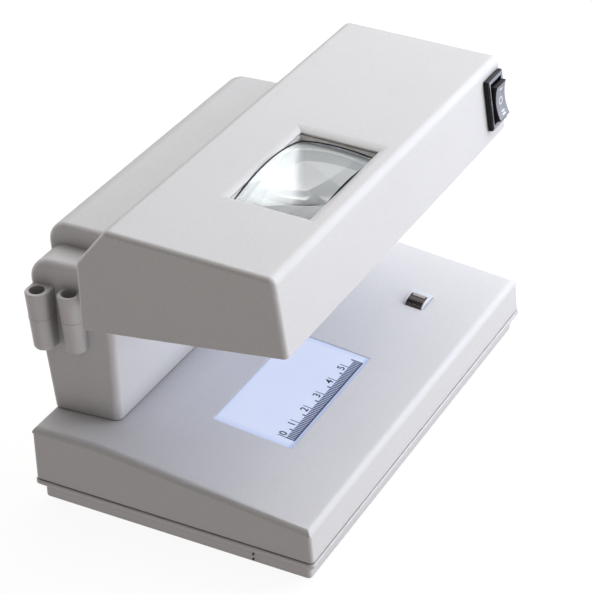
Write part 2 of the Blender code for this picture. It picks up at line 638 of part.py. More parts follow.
def magnifier():
    """Plano-convex lens block and the frame that holds it below the window."""
    place = top_place(*LENS_MIDDLE)
    half_x, half_y = OPEN_HALF_X - 0.35, OPEN_HALF_Y - 0.35
    columns, rows = 24, 14
    bm = bmesh.new()
    top, bottom = [], []
    for row in range(rows + 1):
        for column in range(columns + 1):
            x = -half_x + 2 * half_x * column / columns
            y = -half_y + 2 * half_y * row / rows
            top.append(bm.verts.new((x, y, 0.2 - (x * x + y * y) / (2 * LENS_CURVE))))
            bottom.append(bm.verts.new((x, y, -LENS_EDGE)))
    width = columns + 1
    for row in range(rows):
        for column in range(columns):
            a = row * width + column
            bm.faces.new((top[a], top[a + 1], top[a + 1 + width], top[a + width]))
            bm.faces.new((bottom[a], bottom[a + width], bottom[a + 1 + width], bottom[a + 1]))
    border = list(range(columns)) + [r * width + columns for r in range(rows)]
    border += [rows * width + c for c in range(columns, 0, -1)] + [r * width for r in range(rows, 0, -1)]
    for index, a in enumerate(border):
        b = border[(index + 1) % len(border)]
        bm.faces.new((top[a], bottom[a], bottom[b], top[b]))
    bmesh.ops.dissolve_limit(bm, angle_limit=math.radians(0.1), verts=bm.verts, edges=bm.edges)
    make("magnifier_lens", bm, "glass", HEAD_TOP_TILT, place)
    outer_x = (-OPEN_HALF_X - 4.0, OPEN_HALF_X + 4.0)
    outer_y = (-OPEN_HALF_Y - 3.4, OPEN_HALF_Y + 4.0)
    outer = box(outer_x, outer_y, (-22.0, -WALL - GAP))
    frame = make("lens_frame", outer, "lens_white", HEAD_TOP_TILT, place)
    pocket = box((-OPEN_HALF_X, OPEN_HALF_X), (-OPEN_HALF_Y, OPEN_HALF_Y), (-LENS_EDGE - GAP, 5.0))
    ledge_x, ledge_y = OPEN_HALF_X - 2.0, OPEN_HALF_Y - 2.0
    through = box((-ledge_x, ledge_x), (-ledge_y, ledge_y), (-40.0, 5.0))
    cut(frame, tool(pocket, HEAD_TOP_TILT, place), tool(through, HEAD_TOP_TILT, place))


def uv_lamp():
    """Ultraviolet tube with end caps, sockets, reflector trough and the underside panel."""
    make("uv_lamp_glass", rod(UV_RADIUS, 2 * UV_HALF, 28, "X", (0.0, UV_Y, UV_Z)), "uv_glass")
    for name, sign in (("left", -1), ("right", 1)):
        cap_x = sign * (UV_HALF + GAP + 3.0)
        cap_rod = rod(UV_RADIUS + 0.2, 6.0, 28, "X", (cap_x, UV_Y, UV_Z))
        cap = make("uv_lamp_cap_" + name, cap_rod, "aluminium")
        pins = [tool(rod(1.1, 6.5, 10, "X", (cap_x + sign * 5.8, UV_Y + dy, UV_Z))) for dy in (-2.4, 2.4)]
        fuse(cap, *pins)
        near = cap_x + sign * (3.0 + GAP)
        x_range = sorted((near, near + sign * 8.0))
        socket = round_edges(box(x_range, (UV_Y - 8.5, UV_Y + 8.5), (UV_Z - 9.0, UV_Z + 9.0)), 1.5, 3,
                             lambda low, high: abs(low.x - high.x) > 1.0)
        socket = make("uv_lamp_socket_" + name, socket, "white_shell")
        cut(socket, *[tool(rod(1.6, 12.0, 10, "X", (near, UV_Y + dy, UV_Z))) for dy in (-2.4, 2.4)])
    outline = []
    for radius, steps in ((11.6, range(13)), (10.8, range(12, -1, -1))):
        for step in steps:
            angle = math.pi * step / 12
            outline.append((UV_Y + radius * math.cos(angle), UV_Z + radius * math.sin(angle)))
    bm = bmesh.new()
    face = bm.faces.new([bm.verts.new((-UV_HALF - 5.0, y, z)) for y, z in outline])
    moved = bmesh.ops.extrude_face_region(bm, geom=[face])["geom"]
    bmesh.ops.translate(bm, vec=(2 * UV_HALF + 10.0, 0.0, 0.0),
                        verts=[part for part in moved if isinstance(part, bmesh.types.BMVert)])
    make("uv_reflector", bm, "aluminium")
    middle_y = (HEAD_PROFILE[1][0] + HEAD_PROFILE[2][0]) / 2
    panel_place = (0.0, middle_y, head_bottom_z(middle_y) + 1.0)
    reach = (HEAD_PROFILE[2][0] - HEAD_PROFILE[1][0]) / 2
    panel = make("underside_panel", box((-HEAD_HALF + WALL + GAP, HEAD_HALF - WALL - GAP),
                                        (-reach + WALL + 0.9, reach - WALL - 0.9), (0.0, 1.8)),
                 "white_shell", UNDERSIDE_TILT, panel_place)
    cut(panel, tool(box((-UV_HALF - 4.0, UV_HALF + 4.0), (UV_Y - 9.5, UV_Y + 9.5), (60.0, 130.0))),
        tool(box((LENS_MIDDLE[0] - OPEN_HALF_X + 1.0, LENS_MIDDLE[0] + OPEN_HALF_X - 1.0),
                 (LENS_MIDDLE[1] - OPEN_HALF_Y + 1.0, LENS_MIDDLE[1] + OPEN_HALF_Y - 1.0), (60.0, 130.0))))
    for name, x in zip(("left", "right"), COLUMN_SCREWS):
        screw("head_screw_" + name, 6.5, 2.9, (x, COLUMN_FRONT + 5.0 + GAP, 88.0), 90.0)


# Rocker switch --------------------------------------------------------------------------

def switch_place():
    """Pivot of the rocker, behind the front face."""
    x, y, z = face_place(SWITCH_X, SWITCH_Z)
    return (x, y + PIVOT_DEPTH * math.cos(FACE_TILT), z + PIVOT_DEPTH * math.sin(FACE_TILT))


def rocker_switch():
    """Switch body with its bezel, the rocker, the see-saw contact and three terminals."""
    place = switch_place()
    front = -PIVOT_DEPTH
    bezel = round_edges(box((-7.0, 7.0), (front - 2.0, front - GAP), (-10.2, 10.2)), 0.5, 2,
                        lambda low, high: min(low.y, high.y) < front - 1.9)
    body = make("switch_body", bezel, "dark_plastic", FACE_TILT, place)
    fuse(body, tool(box((-5.9, 5.9), (front - 1.0, 12.0), (-9.3, 9.3)), FACE_TILT, place))
    cut(body, tool(box((-4.9, 4.9), (front - 5.0, 10.8), (-8.3, 8.3)), FACE_TILT, place))
    for z in (-6.0, 0.0, 6.0):
        cut(body, tool(box((-1.9, 1.9), (8.0, 15.0), (z - 0.7, z + 0.7)), FACE_TILT, place))

    outline = []
    for step in range(11):
        share = -1 + 2 * step / 10
        outline.append((front - 3.2 - 1.2 * share * share, 7.0 * share))
    upper_half = [(front - 1.0, 7.4), (1.0, 5.2), (2.2, 1.6), (5.9, 0.9)]
    outline += upper_half + [(6.6, 0.0)] + [(y, -z) for y, z in reversed(upper_half)]
    bm = bmesh.new()
    face = bm.faces.new([bm.verts.new((-4.4, y, z)) for y, z in outline])
    moved = bmesh.ops.extrude_face_region(bm, geom=[face])["geom"]
    bmesh.ops.translate(bm, vec=(8.8, 0.0, 0.0),
                        verts=[part for part in moved if isinstance(part, bmesh.types.BMVert)])
    make("switch_rocker", bm, "dark_plastic", FACE_TILT, place)

    outline = ((8.4, 0.0), (7.3, 6.6), (6.9, 6.6), (7.2, 0.8), (7.2, -0.8), (6.9, -6.6), (7.3, -6.6))
    lever = prism(outline, (-1.8, 1.8))
    pivot_y = 8.4
    lever.transform(Matrix.Translation((0.0, -pivot_y, 0.0)))
    lever_place = Vector(place) + Matrix.Rotation(FACE_TILT, 3, "X") @ Vector((0.0, pivot_y, 0.0))
    make("switch_contact_lever", lever, "copper", FACE_TILT, lever_place)
    for name, z in (("lower", -6.0), ("middle", 0.0), ("upper", 6.0)):
        reach = 8.7 if name == "middle" else 8.2
        blade = box((-1.6, 1.6), (reach, 18.0), (z - 0.4, z + 0.4))
        make("switch_terminal_" + name, blade, "brass", FACE_TILT, place)


# Wires ----------------------------------------------------------------------------------

def wire(name, route, radius, material_name):
    """Round wire along a smooth curve through the route's points."""
    curve = bpy.data.curves.new(name, "CURVE")
    curve.dimensions = "3D"
    curve.resolution_u = 6
    curve.bevel_depth = radius
    curve.bevel_resolution = 2
    curve.use_fill_caps = True
    spline = curve.splines.new("BEZIER")
    spline.bezier_points.add(len(route) - 1)
    for point, place in zip(spline.bezier_points, route):
        point.co = place
        point.handle_left_type = "AUTO"
        point.handle_right_type = "AUTO"
    guide = bpy.data.objects.new(name + "_guide", curve)
    bpy.context.scene.collection.objects.link(guide)
    bpy.context.view_layer.update()
    swept = bpy.data.meshes.new_from_object(guide.evaluated_get(bpy.context.evaluated_depsgraph_get()))
    bpy.data.objects.remove(guide)
    bm = bmesh.new()
    bm.from_mesh(swept)
    bmesh.ops.remove_doubles(bm, verts=bm.verts, dist=0.001)
    return make(name, bm, material_name)


def wires():
    """Bundles held inside: driver to the lamp, driver to the switch, and driver to the base."""
    wire("lamp_wire", ((-26.0, 37.0, 74.0), (-5.0, 38.0, 84.0), (18.0, 37.0, 88.5), (27.5, 33.0, 89.2),
                       (28.2, 24.5, 90.5), (50.0, 22.8, 99.0), (68.0, 22.5, 103.0), (76.0, 18.4, 104.0)),
         1.2, "wire")
    wire("switch_wire", ((-26.0, 42.0, 68.0), (0.0, 46.0, 78.0), (22.0, 45.0, 85.0), (31.8, 38.0, 87.3),
                         (32.2, 25.0, 87.5), (50.0, 23.5, 90.0), (70.0, 23.5, 92.5), (84.3, 20.0, 98.0),
                         (84.6, 5.0, 103.0), (84.0, -12.0, 106.0), (82.5, -27.0, 106.0)), 1.2, "black_wire")
    wire("base_wire", ((-20.0, 38.0, 66.0), (-6.0, 39.0, 54.0), (0.0, 40.0, 42.0), (0.0, 40.0, 30.0),
                       (4.0, 34.0, 20.0), (20.0, 20.0, 15.0), (34.0, 14.0, 14.0)), 1.4, "wire")


def main():
    """Clear the scene and build the detector."""
    for item in list(bpy.data.objects):
        bpy.data.objects.remove(item)
    base_top_shell()
    base_tray()
    base_screws_and_feet()
    watermark_window()
    white_lamp()
    magnetic_sensor()
    rear_housing()
    rear_cover()
    electrics()
    head_shell()
    magnifier()
    uv_lamp()
    rocker_switch()
    wires()


main()
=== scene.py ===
"""Looks of the counterfeit bill detector: moulded shells, magnifier, lit window, ruler, switch and lamps.

The object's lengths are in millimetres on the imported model's axes (+Z up, the front towards -Y), and
become metres when a piece is made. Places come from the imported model's own boxes. The camera, lights
and floor at the end are in metres.
"""
import json
import math

import bmesh
import bpy
from mathutils import Euler, Matrix, Vector


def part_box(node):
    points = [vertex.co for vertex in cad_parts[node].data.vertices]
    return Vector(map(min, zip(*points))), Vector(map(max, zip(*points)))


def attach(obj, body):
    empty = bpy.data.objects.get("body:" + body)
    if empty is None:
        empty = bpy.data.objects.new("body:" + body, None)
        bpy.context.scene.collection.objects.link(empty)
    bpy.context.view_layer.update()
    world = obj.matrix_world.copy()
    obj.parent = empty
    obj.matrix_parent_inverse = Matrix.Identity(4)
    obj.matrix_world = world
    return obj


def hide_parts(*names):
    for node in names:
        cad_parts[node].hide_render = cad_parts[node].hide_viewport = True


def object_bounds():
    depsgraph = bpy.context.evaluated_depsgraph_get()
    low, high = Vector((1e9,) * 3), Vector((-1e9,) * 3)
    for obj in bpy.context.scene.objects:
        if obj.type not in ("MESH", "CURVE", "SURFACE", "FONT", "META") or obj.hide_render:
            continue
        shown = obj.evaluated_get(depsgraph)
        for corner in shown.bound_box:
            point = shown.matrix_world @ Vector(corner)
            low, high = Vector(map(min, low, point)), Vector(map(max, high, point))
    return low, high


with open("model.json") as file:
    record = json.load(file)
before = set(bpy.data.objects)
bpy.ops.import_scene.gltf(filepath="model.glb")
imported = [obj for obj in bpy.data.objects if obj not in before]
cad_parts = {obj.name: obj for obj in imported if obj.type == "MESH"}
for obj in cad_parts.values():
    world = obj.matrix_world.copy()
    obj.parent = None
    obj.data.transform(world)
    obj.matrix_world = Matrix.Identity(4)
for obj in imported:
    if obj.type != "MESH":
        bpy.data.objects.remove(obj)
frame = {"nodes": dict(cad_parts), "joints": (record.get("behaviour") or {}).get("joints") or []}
CAD_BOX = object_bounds()
UNIT = 0.001


def span(node):
    """Lowest and highest corner of a CAD node, in millimetres."""
    low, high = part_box(node)
    return low / UNIT, high / UNIT


SHELL_LOW, SHELL_HIGH = span("base_top_shell")
TRAY_LOW, TRAY_HIGH = span("base_tray")
HOUSING_LOW, HOUSING_HIGH = span("rear_housing")
HEAD_LOW, HEAD_HIGH = span("head_shell")
CORE_LOW, CORE_HIGH = span("magnetic_head")
WALL = 2.2
GAP = 0.3

# Base
BASE_HALF = SHELL_HIGH.x
BASE_FRONT = SHELL_LOW.y
BASE_REAR = SHELL_HIGH.y
FRONT_TOP_Y = BASE_FRONT + 1.0
FRONT_TOP_Z = 24.1
PLATFORM_Y = 27.6
PLATFORM_Z = SHELL_HIGH.z
DRAFT = 0.011
SLOPE_TILT = math.atan2(PLATFORM_Z - FRONT_TOP_Z, PLATFORM_Y - FRONT_TOP_Y)
WINDOW_X = (-54.2, 10.1)
WINDOW_Y = (-31.8, 0.8)
WINDOW_SINK = 0.12
CORE_HALF = (5.15, 3.85)
CORE_RISE = 2.25
CORE_MIDDLE = (CORE_LOW.x + CORE_HALF[0], (CORE_LOW.y + CORE_HIGH.y) / 2)
CORE_DEPTH = 5.0
CORE_END_PLATE = 0.45
CORE_STRIP_END = 0.75
CORE_CLEARANCE = 0.12
SCREW_SPOTS = ((-80.0, -48.0), (80.0, -48.0), (-80.0, 44.0), (80.0, 44.0))
COVER_BOTTOM = SHELL_LOW.z + 0.1
COVER_TOP_ROUND = 2.7
COVER_SIDE_ROUND = 1.5
POST_RADIUS = 3.8
POST_BORE = 1.7
TRAY_INSET = 2.5
RIM_TOP = TRAY_HIGH.z - 0.15
RIM_HEIGHT = 1.95
WELL_RADIUS = 3.3
DOTS_Y = -34.45
DOTS_Z = (2.95, 5.15)
DOT_RADIUS = 0.36

# Housing
COLUMN_FRONT = HOUSING_LOW.y
COLUMN_HALVES = (74.3, HOUSING_HIGH.x)
SHOULDER_TOP = 95.4
BLOCK_X = (-63.0, 70.6)
BLOCK_FRONT = COLUMN_FRONT + 2.3
REAR_FOOT_Y = 54.6
REAR_ROUND = 8.5
FRONT_ROUND = 1.9
COLUMN_EDGE = 2.8
BLOCK_EDGES = (2.4, 5.5)
REAR_LEAN_TOP = 86.5
PEN_SPOTS = ((-80.8, 53.5), (-78.0, 41.9))
PEN_TOP = 85.8
PEN_BOTTOM = 61.5
PEN_RADIUS = 4.3
PEN_BORE = 2.9
PEN_DEPTH = 15.0
PEN_RING = 75.1
PEN_LEAN = 2.2 / (PEN_TOP - PEN_BOTTOM)
PEN_WEB_X = -72.5

# Head
HEAD_HALF = HEAD_HIGH.x
HEAD_PROFILE = ((HEAD_LOW.y + 4.0, 122.0), (HEAD_LOW.y, 92.7), (HEAD_HIGH.y, HEAD_LOW.z),
                (HEAD_HIGH.y - 0.4, 108.5), (16.4, HEAD_HIGH.z))
LENS_X = (-52.5, 6.2)
LENS_Y = (-42.0, -5.1)
BEVEL_WIDTH = 3.0
BEVEL_DEPTH = 1.5
LENS_CURVE = 85.0
LENS_CROWN = 0.2
LENS_CLEARANCE = 0.25
LENS_EDGE = 9.0
SEAT_DEPTH = 21.9
SEAT_LEDGE = 2.0
SEAT_WALL = 3.9
SEAT_FRONT_WALL = 3.3
HEAD_FRONT_ROUND = 2.8
HEAD_SIDE_ROUND = 1.9


# Mesh tools -----------------------------------------------------------------------------

RING_STEPS = 48
SHARP_ANGLE = math.radians(32)
SOFT_EDGE_ANGLE = math.radians(38)


def hull(points):
    """Convex solid around the points, with flat faces merged."""
    bm = bmesh.new()
    for point in points:
        bm.verts.new(point)
    bmesh.ops.convex_hull(bm, input=bm.verts)
    loose = [vert for vert in bm.verts if not vert.link_faces]
    bmesh.ops.delete(bm, geom=loose, context="VERTS")
    bmesh.ops.dissolve_limit(bm, angle_limit=math.radians(0.5), verts=bm.verts, edges=bm.edges)
    return bm


def box(x, y, z):
    """Box between the low and high value of each axis."""
    return hull([(a, b, c) for a in x for b in y for c in z])


def prism(profile, x):
    """Convex profile of (y, z) points extruded between two x values."""
    return hull([(a, b, c) for a in x for b, c in profile])


def ring(x, y, z, radius):
    """Points of a level circle."""
    turn = 2 * math.pi / RING_STEPS
    angles = [turn * step for step in range(RING_STEPS)]
    return [(x + radius * math.cos(angle), y + radius * math.sin(angle), z) for angle in angles]


def rod(radius, length, centre):
    """Upright rod centred on a point."""
    bm = bmesh.new()
    bmesh.ops.create_cone(bm, cap_ends=True, segments=40, radius1=radius, radius2=radius,
                          depth=length, matrix=Matrix.Translation(centre))
    return bm


def rounded(bm, radius, segments, chosen):
    """Bevel the edges whose lower and upper corners pass the test."""
    edges = []
    for edge in bm.edges:
        low, high = sorted((vert.co for vert in edge.verts), key=lambda point: point.z)
        if chosen(low, high):
            edges.append(edge)
    bmesh.ops.bevel(bm, geom=edges, offset=radius, segments=segments, profile=0.5,
                    affect="EDGES", clamp_overlap=True)
    bmesh.ops.remove_doubles(bm, verts=bm.verts, dist=0.004)
    return bm


def placed(bm, tilt, place):
    """Tilt a bmesh about X and move it to its place."""
    bm.transform(Matrix.Translation(place) @ Matrix.Rotation(tilt, 4, "X"))
    return bm


def temporary(bm):
    """Linked object that holds a bmesh for a boolean."""
    bmesh.ops.recalc_face_normals(bm, faces=bm.faces)
    mesh = bpy.data.meshes.new("temporary")
    bm.to_mesh(mesh)
    bm.free()
    item = bpy.data.objects.new("temporary", mesh)
    bpy.context.scene.collection.objects.link(item)
    return item


def boolean(bm, operation, *tools):
    """Return the solid after exact booleans with the tools."""
    target = temporary(bm)
    items = [temporary(tool) for tool in tools]
    for item in items:
        modifier = target.modifiers.new("boolean", "BOOLEAN")
        modifier.operation = operation
        modifier.object = item
    graph = bpy.context.evaluated_depsgraph_get()
    result = bmesh.new()
    result.from_mesh(target.evaluated_get(graph).to_mesh())
    for item in (target, *items):
        bpy.data.objects.remove(item)
    return result


def cut(bm, *tools):
    """Subtract the tools."""
    return boolean(bm, "DIFFERENCE", *tools)


def fuse(bm, *tools):
    """Join the tools."""
    return boolean(bm, "UNION", *tools)


def piece(name, bm, finish, replaced=(), body="frame", soften=0.0):
    """Make a shown piece in metres that rides on a body and stands for CAD nodes."""
    bmesh.ops.remove_doubles(bm, verts=bm.verts, dist=0.002)
    bmesh.ops.recalc_face_normals(bm, faces=bm.faces)
    bm.transform(Matrix.Scale(UNIT, 4))
    mesh = bpy.data.meshes.new(name)
    bm.to_mesh(mesh)
    bm.free()
    mesh.shade_smooth()
    mesh.set_sharp_from_angle(angle=SHARP_ANGLE)
    item = bpy.data.objects.new(name, mesh)
    bpy.context.scene.collection.objects.link(item)
    mesh.materials.append(FINISHES[finish])
    if soften:
        edge = item.modifiers.new("soft edges", "BEVEL")
        edge.width = soften * UNIT
        edge.segments = 3
        edge.limit_method = "ANGLE"
        edge.angle_limit = SOFT_EDGE_ANGLE
        edge.use_clamp_overlap = True
    normals = item.modifiers.new("even shading", "WEIGHTED_NORMAL")
    normals.keep_sharp = True
    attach(item, body)
    if replaced:
        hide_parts(*replaced)
    return item


def slope_z(y):
    """Height of the base's top surface at y."""
    share = min(1.0, (y - FRONT_TOP_Y) / (PLATFORM_Y - FRONT_TOP_Y))
    return FRONT_TOP_Z + (PLATFORM_Z - FRONT_TOP_Z) * share


def rear_y(z):
    """Depth of the housing's leaning rear face at z."""
    share = (z - HOUSING_LOW.z) / (REAR_LEAN_TOP - HOUSING_LOW.z)
    return REAR_FOOT_Y + (HOUSING_HIGH.y - REAR_FOOT_Y) * min(1.0, share)


TOP_TILT = math.atan2(HEAD_PROFILE[4][1] - HEAD_PROFILE[0][1], HEAD_PROFILE[4][0] - HEAD_PROFILE[0][0])
FACE_TILT = -math.atan2(HEAD_PROFILE[0][0] - HEAD_PROFILE[1][0], HEAD_PROFILE[0][1] - HEAD_PROFILE[1][1])


def top_place(x, y):
    """Point of the head's top plane above (x, y)."""
    return Vector((x, y, HEAD_PROFILE[0][1] + math.tan(TOP_TILT) * (y - HEAD_PROFILE[0][0])))


# Materials ------------------------------------------------------------------------------

# Share of the main colour kept in the painted shade of corners, creases and gaps
PAINTED_SHADE_TONE = 0.45
CLOUD_SCALE = 38.0


class Nodes:
    """Short way to add linked nodes to a material."""

    def __init__(self, name):
        self.material = bpy.data.materials.new(name)
        self.material.use_nodes = True
        self.tree = self.material.node_tree
        self.shader = self.tree.nodes["Principled BSDF"]
        self.place = self.tree.nodes.new("ShaderNodeTexCoord").outputs["Object"]

    def add(self, kind, **values):
        """Add a node; a value that is a socket is linked, any other is set."""
        node = self.tree.nodes.new(kind)
        for key, value in values.items():
            self.give(node.inputs[key.replace("_", " ")], value)
        return node

    def give(self, socket, value):
        """Link or set one input."""
        if isinstance(value, bpy.types.NodeSocket):
            self.tree.links.new(value, socket)
        else:
            socket.default_value = value

    def noise(self, scale, detail=3.0):
        """Noise of the given features per metre."""
        return self.add("ShaderNodeTexNoise", Vector=self.place, Scale=scale, Detail=detail).outputs["Fac"]

    def spread(self, value, low, high, start=0.3, end=0.7):
        """Map a value's middle range to low and high."""
        node = self.add("ShaderNodeMapRange", Value=value)
        for index, number in enumerate((start, end, low, high), 1):
            node.inputs[index].default_value = number
        return node.outputs["Result"]

    def math(self, operation, first, second=0.0):
        """Result of a math node on two values."""
        node = self.tree.nodes.new("ShaderNodeMath")
        node.operation = operation
        self.give(node.inputs[0], first)
        self.give(node.inputs[1], second)
        return node.outputs[0]

    def mix(self, share, first, second, blend="MIX"):
        """Mix or blend two colours."""
        node = self.tree.nodes.new("ShaderNodeMix")
        node.data_type = "RGBA"
        node.blend_type = blend
        for index, value in ((0, share), (6, first), (7, second)):
            self.give(node.inputs[index], value)
        return node.outputs[2]

    def cloud(self, scale, first, second, most=1.0):
        """Cloudy mix of two colours, with at most the given share of the second."""
        return self.mix(self.spread(self.noise(scale), 0.0, most), colour(*first), colour(*second))

    def bump(self, scale, detail, strength, depth):
        """Fine relief on the surface."""
        node = self.add("ShaderNodeBump", Height=self.noise(scale, detail), Strength=strength, Distance=depth)
        self.give(self.shader.inputs["Normal"], node.outputs["Normal"])

    def edges(self, radius):
        """Share from 0 on flat faces to 1 on tight edges."""
        bevel = self.add("ShaderNodeBevel", Radius=radius * UNIT)
        bevel.samples = 6
        flat = self.tree.nodes.new("ShaderNodeNewGeometry").outputs["Normal"]
        dot = self.tree.nodes.new("ShaderNodeVectorMath")
        dot.operation = "DOT_PRODUCT"
        self.tree.links.new(bevel.outputs["Normal"], dot.inputs[0])
        self.tree.links.new(flat, dot.inputs[1])
        return self.spread(dot.outputs["Value"], 1.0, 0.0, 0.9, 1.0)


def colour(red, green, blue):
    """Colour with full alpha."""
    return (red, green, blue, 1.0)


def surface(name, main, tone, rough, grain=0.05, grain_scale=1900.0, metallic=0.0,
            wear_and_highlight=None, wear_and_highlight_radius=0.9, painted_shade_reach=0.0, **sockets):
    """Material with a cloudy tone, uneven gloss, fine grain and, where given, lighter edges (worn, and partly
    a painted highlight) and painted shade that darkens corners and gaps.
    """
    made = Nodes(name)
    speck = made.spread(made.noise(grain_scale * 0.6, 2.0), 0.965, 1.03)
    shade = made.mix(1.0, made.cloud(CLOUD_SCALE, main, tone), speck, "MULTIPLY")
    # Lighter colour on tight edges: worn edges, and a painted highlight where it is brighter than the face
    if wear_and_highlight:
        share = made.math("MULTIPLY", made.edges(wear_and_highlight_radius), made.spread(made.noise(260.0), 0.25, 0.9))
        shade = made.mix(share, shade, colour(*wear_and_highlight))
    # Painted shade: ambient occlusion darkens the colour in corners, creases and gaps between parts
    if painted_shade_reach:
        corner = made.add("ShaderNodeAmbientOcclusion", Distance=painted_shade_reach * UNIT)
        corner.samples = 4
        share = made.spread(corner.outputs["AO"], 1.0, 0.0, 0.2, 0.9)
        shade = made.mix(share, shade, colour(*(PAINTED_SHADE_TONE * part for part in main)))
    made.give(made.shader.inputs["Base Color"], shade)
    made.give(made.shader.inputs["Roughness"], made.spread(made.noise(170.0), *rough))
    made.bump(grain_scale, 2.0, grain, 0.0002)
    made.shader.inputs["Metallic"].default_value = metallic
    for key, value in sockets.items():
        made.shader.inputs[key.replace("_", " ")].default_value = value
    return made.material


def lit_opal():
    """Opal diffuser with the lamp behind it: bright in the middle, bluer and dimmer at its border."""
    made = Nodes("lit_opal")
    split = made.add("ShaderNodeSeparateXYZ", Vector=made.place)
    reach = []
    for axis, (low, high) in enumerate((WINDOW_X, WINDOW_Y)):
        offset = made.math("SUBTRACT", split.outputs[axis], (low + high) / 2 * UNIT)
        reach.append(made.math("ABSOLUTE", made.math("DIVIDE", offset, (high - low) / 2 * UNIT)))
    border = made.spread(made.math("MAXIMUM", *reach), 0.0, 1.0, 0.90, 1.0)
    middle = made.cloud(30.0, (0.64, 0.71, 0.93), (0.72, 0.79, 0.96), 0.6)
    front = made.spread(split.outputs[1], 1.0, 0.0, (WINDOW_Y[0] + 1.0) * UNIT, (WINDOW_Y[0] + 1.9) * UNIT)
    glow = made.mix(front, made.mix(border, middle, colour(0.52, 0.60, 0.86)), colour(0.36, 0.45, 0.72))
    made.give(made.shader.inputs["Emission Color"], glow)
    made.shader.inputs["Emission Strength"].default_value = 0.72
    made.shader.inputs["Base Color"].default_value = colour(0.25, 0.27, 0.33)
    made.give(made.shader.inputs["Roughness"], made.spread(made.noise(120.0), 0.30, 0.42))
    made.bump(1500.0, 3.0, 0.03, 0.0001)
    return made.material


def lens_glass():
    """Clear lens that lets lamp light through, with faint smears in its gloss."""
    made = Nodes("lens_glass")
    tree = made.tree
    made.shader.inputs["Base Color"].default_value = colour(0.97, 0.99, 0.975)
    made.shader.inputs["Transmission Weight"].default_value = 1.0
    made.shader.inputs["IOR"].default_value = 1.49
    made.give(made.shader.inputs["Roughness"], made.spread(made.noise(90.0), 0.0, 0.02))
    clear = tree.nodes.new("ShaderNodeBsdfTransparent")
    clear.inputs["Color"].default_value = colour(0.94, 0.96, 0.95)
    through = tree.nodes.new("ShaderNodeMixShader")
    path = tree.nodes.new("ShaderNodeLightPath")
    tree.links.new(path.outputs["Is Shadow Ray"], through.inputs[0])
    tree.links.new(made.shader.outputs[0], through.inputs[1])
    tree.links.new(clear.outputs[0], through.inputs[2])
    tree.links.new(through.outputs[0], tree.nodes["Material Output"].inputs["Surface"])
    return made.material


def glowing(name, main, glow, strength):
    """Lamp glass with a cloudy glow."""
    made = Nodes(name)
    made.shader.inputs["Base Color"].default_value = colour(*main)
    made.give(made.shader.inputs["Roughness"], made.spread(made.noise(150.0), 0.08, 0.2))
    dim = tuple(0.8 * part for part in glow)
    made.give(made.shader.inputs["Emission Color"], made.cloud(40.0, glow, dim))
    made.shader.inputs["Emission Strength"].default_value = strength
    return made.material


def seat_plastic():
    """Plastic of the lens seat with painted light: a painted glow low in the tunnel below the lens, painted
    shade on its right wall, and a painted highlight that makes it pale above the lens.
    """
    made = Nodes("frame_plastic_painted_light")
    split = made.add("ShaderNodeSeparateXYZ", Vector=made.place)
    top, right = HEAD_PROFILE[0][1], LENS_X[1]
    # Masks for the painted light: low in the tunnel, away from the right wall, and high above the lens
    low = made.spread(split.outputs[2], 1.0, 0.0, (top - LENS_EDGE) * UNIT, (top - LENS_EDGE + 5.0) * UNIT)
    left = made.spread(split.outputs[0], 1.0, 0.1, (right - 11.0) * UNIT, (right - 3.0) * UNIT)
    high = made.spread(split.outputs[2], 0.0, 1.0, (top - 6.5) * UNIT, (top - 4.0) * UNIT)
    # Painted glow by emission, though the seat is no lamp
    glow = made.cloud(60.0, (0.86, 0.89, 0.93), (0.80, 0.84, 0.88))
    lit = made.mix(made.math("MULTIPLY", low, left), colour(0.0, 0.0, 0.0), glow)
    made.give(made.shader.inputs["Emission Color"], lit)
    made.shader.inputs["Emission Strength"].default_value = 0.9
    # Base colour darkened at the right wall as painted shade, and pale above the lens as a painted highlight
    pale = made.cloud(CLOUD_SCALE, (0.62, 0.61, 0.60), (0.55, 0.54, 0.53))
    wall = made.mix(left, colour(0.10, 0.10, 0.10), pale)
    made.give(made.shader.inputs["Base Color"], made.mix(high, wall, colour(0.86, 0.83, 0.80)))
    made.give(made.shader.inputs["Roughness"], made.spread(made.noise(150.0), 0.45, 0.6))
    return made.material


def white_plastic(name, painted_shade_reach, wear_and_highlight=(0.86, 0.82, 0.79)):
    """White moulded plastic of the shells, with its own reach of the painted shade that darkens corners and
    gaps, and lighter worn edges that are a brighter painted highlight on the head.
    """
    return surface(name, (0.80, 0.795, 0.80), (0.785, 0.78, 0.785), (0.42, 0.52), 0.05, 2600.0,
                   wear_and_highlight=wear_and_highlight, painted_shade_reach=painted_shade_reach)


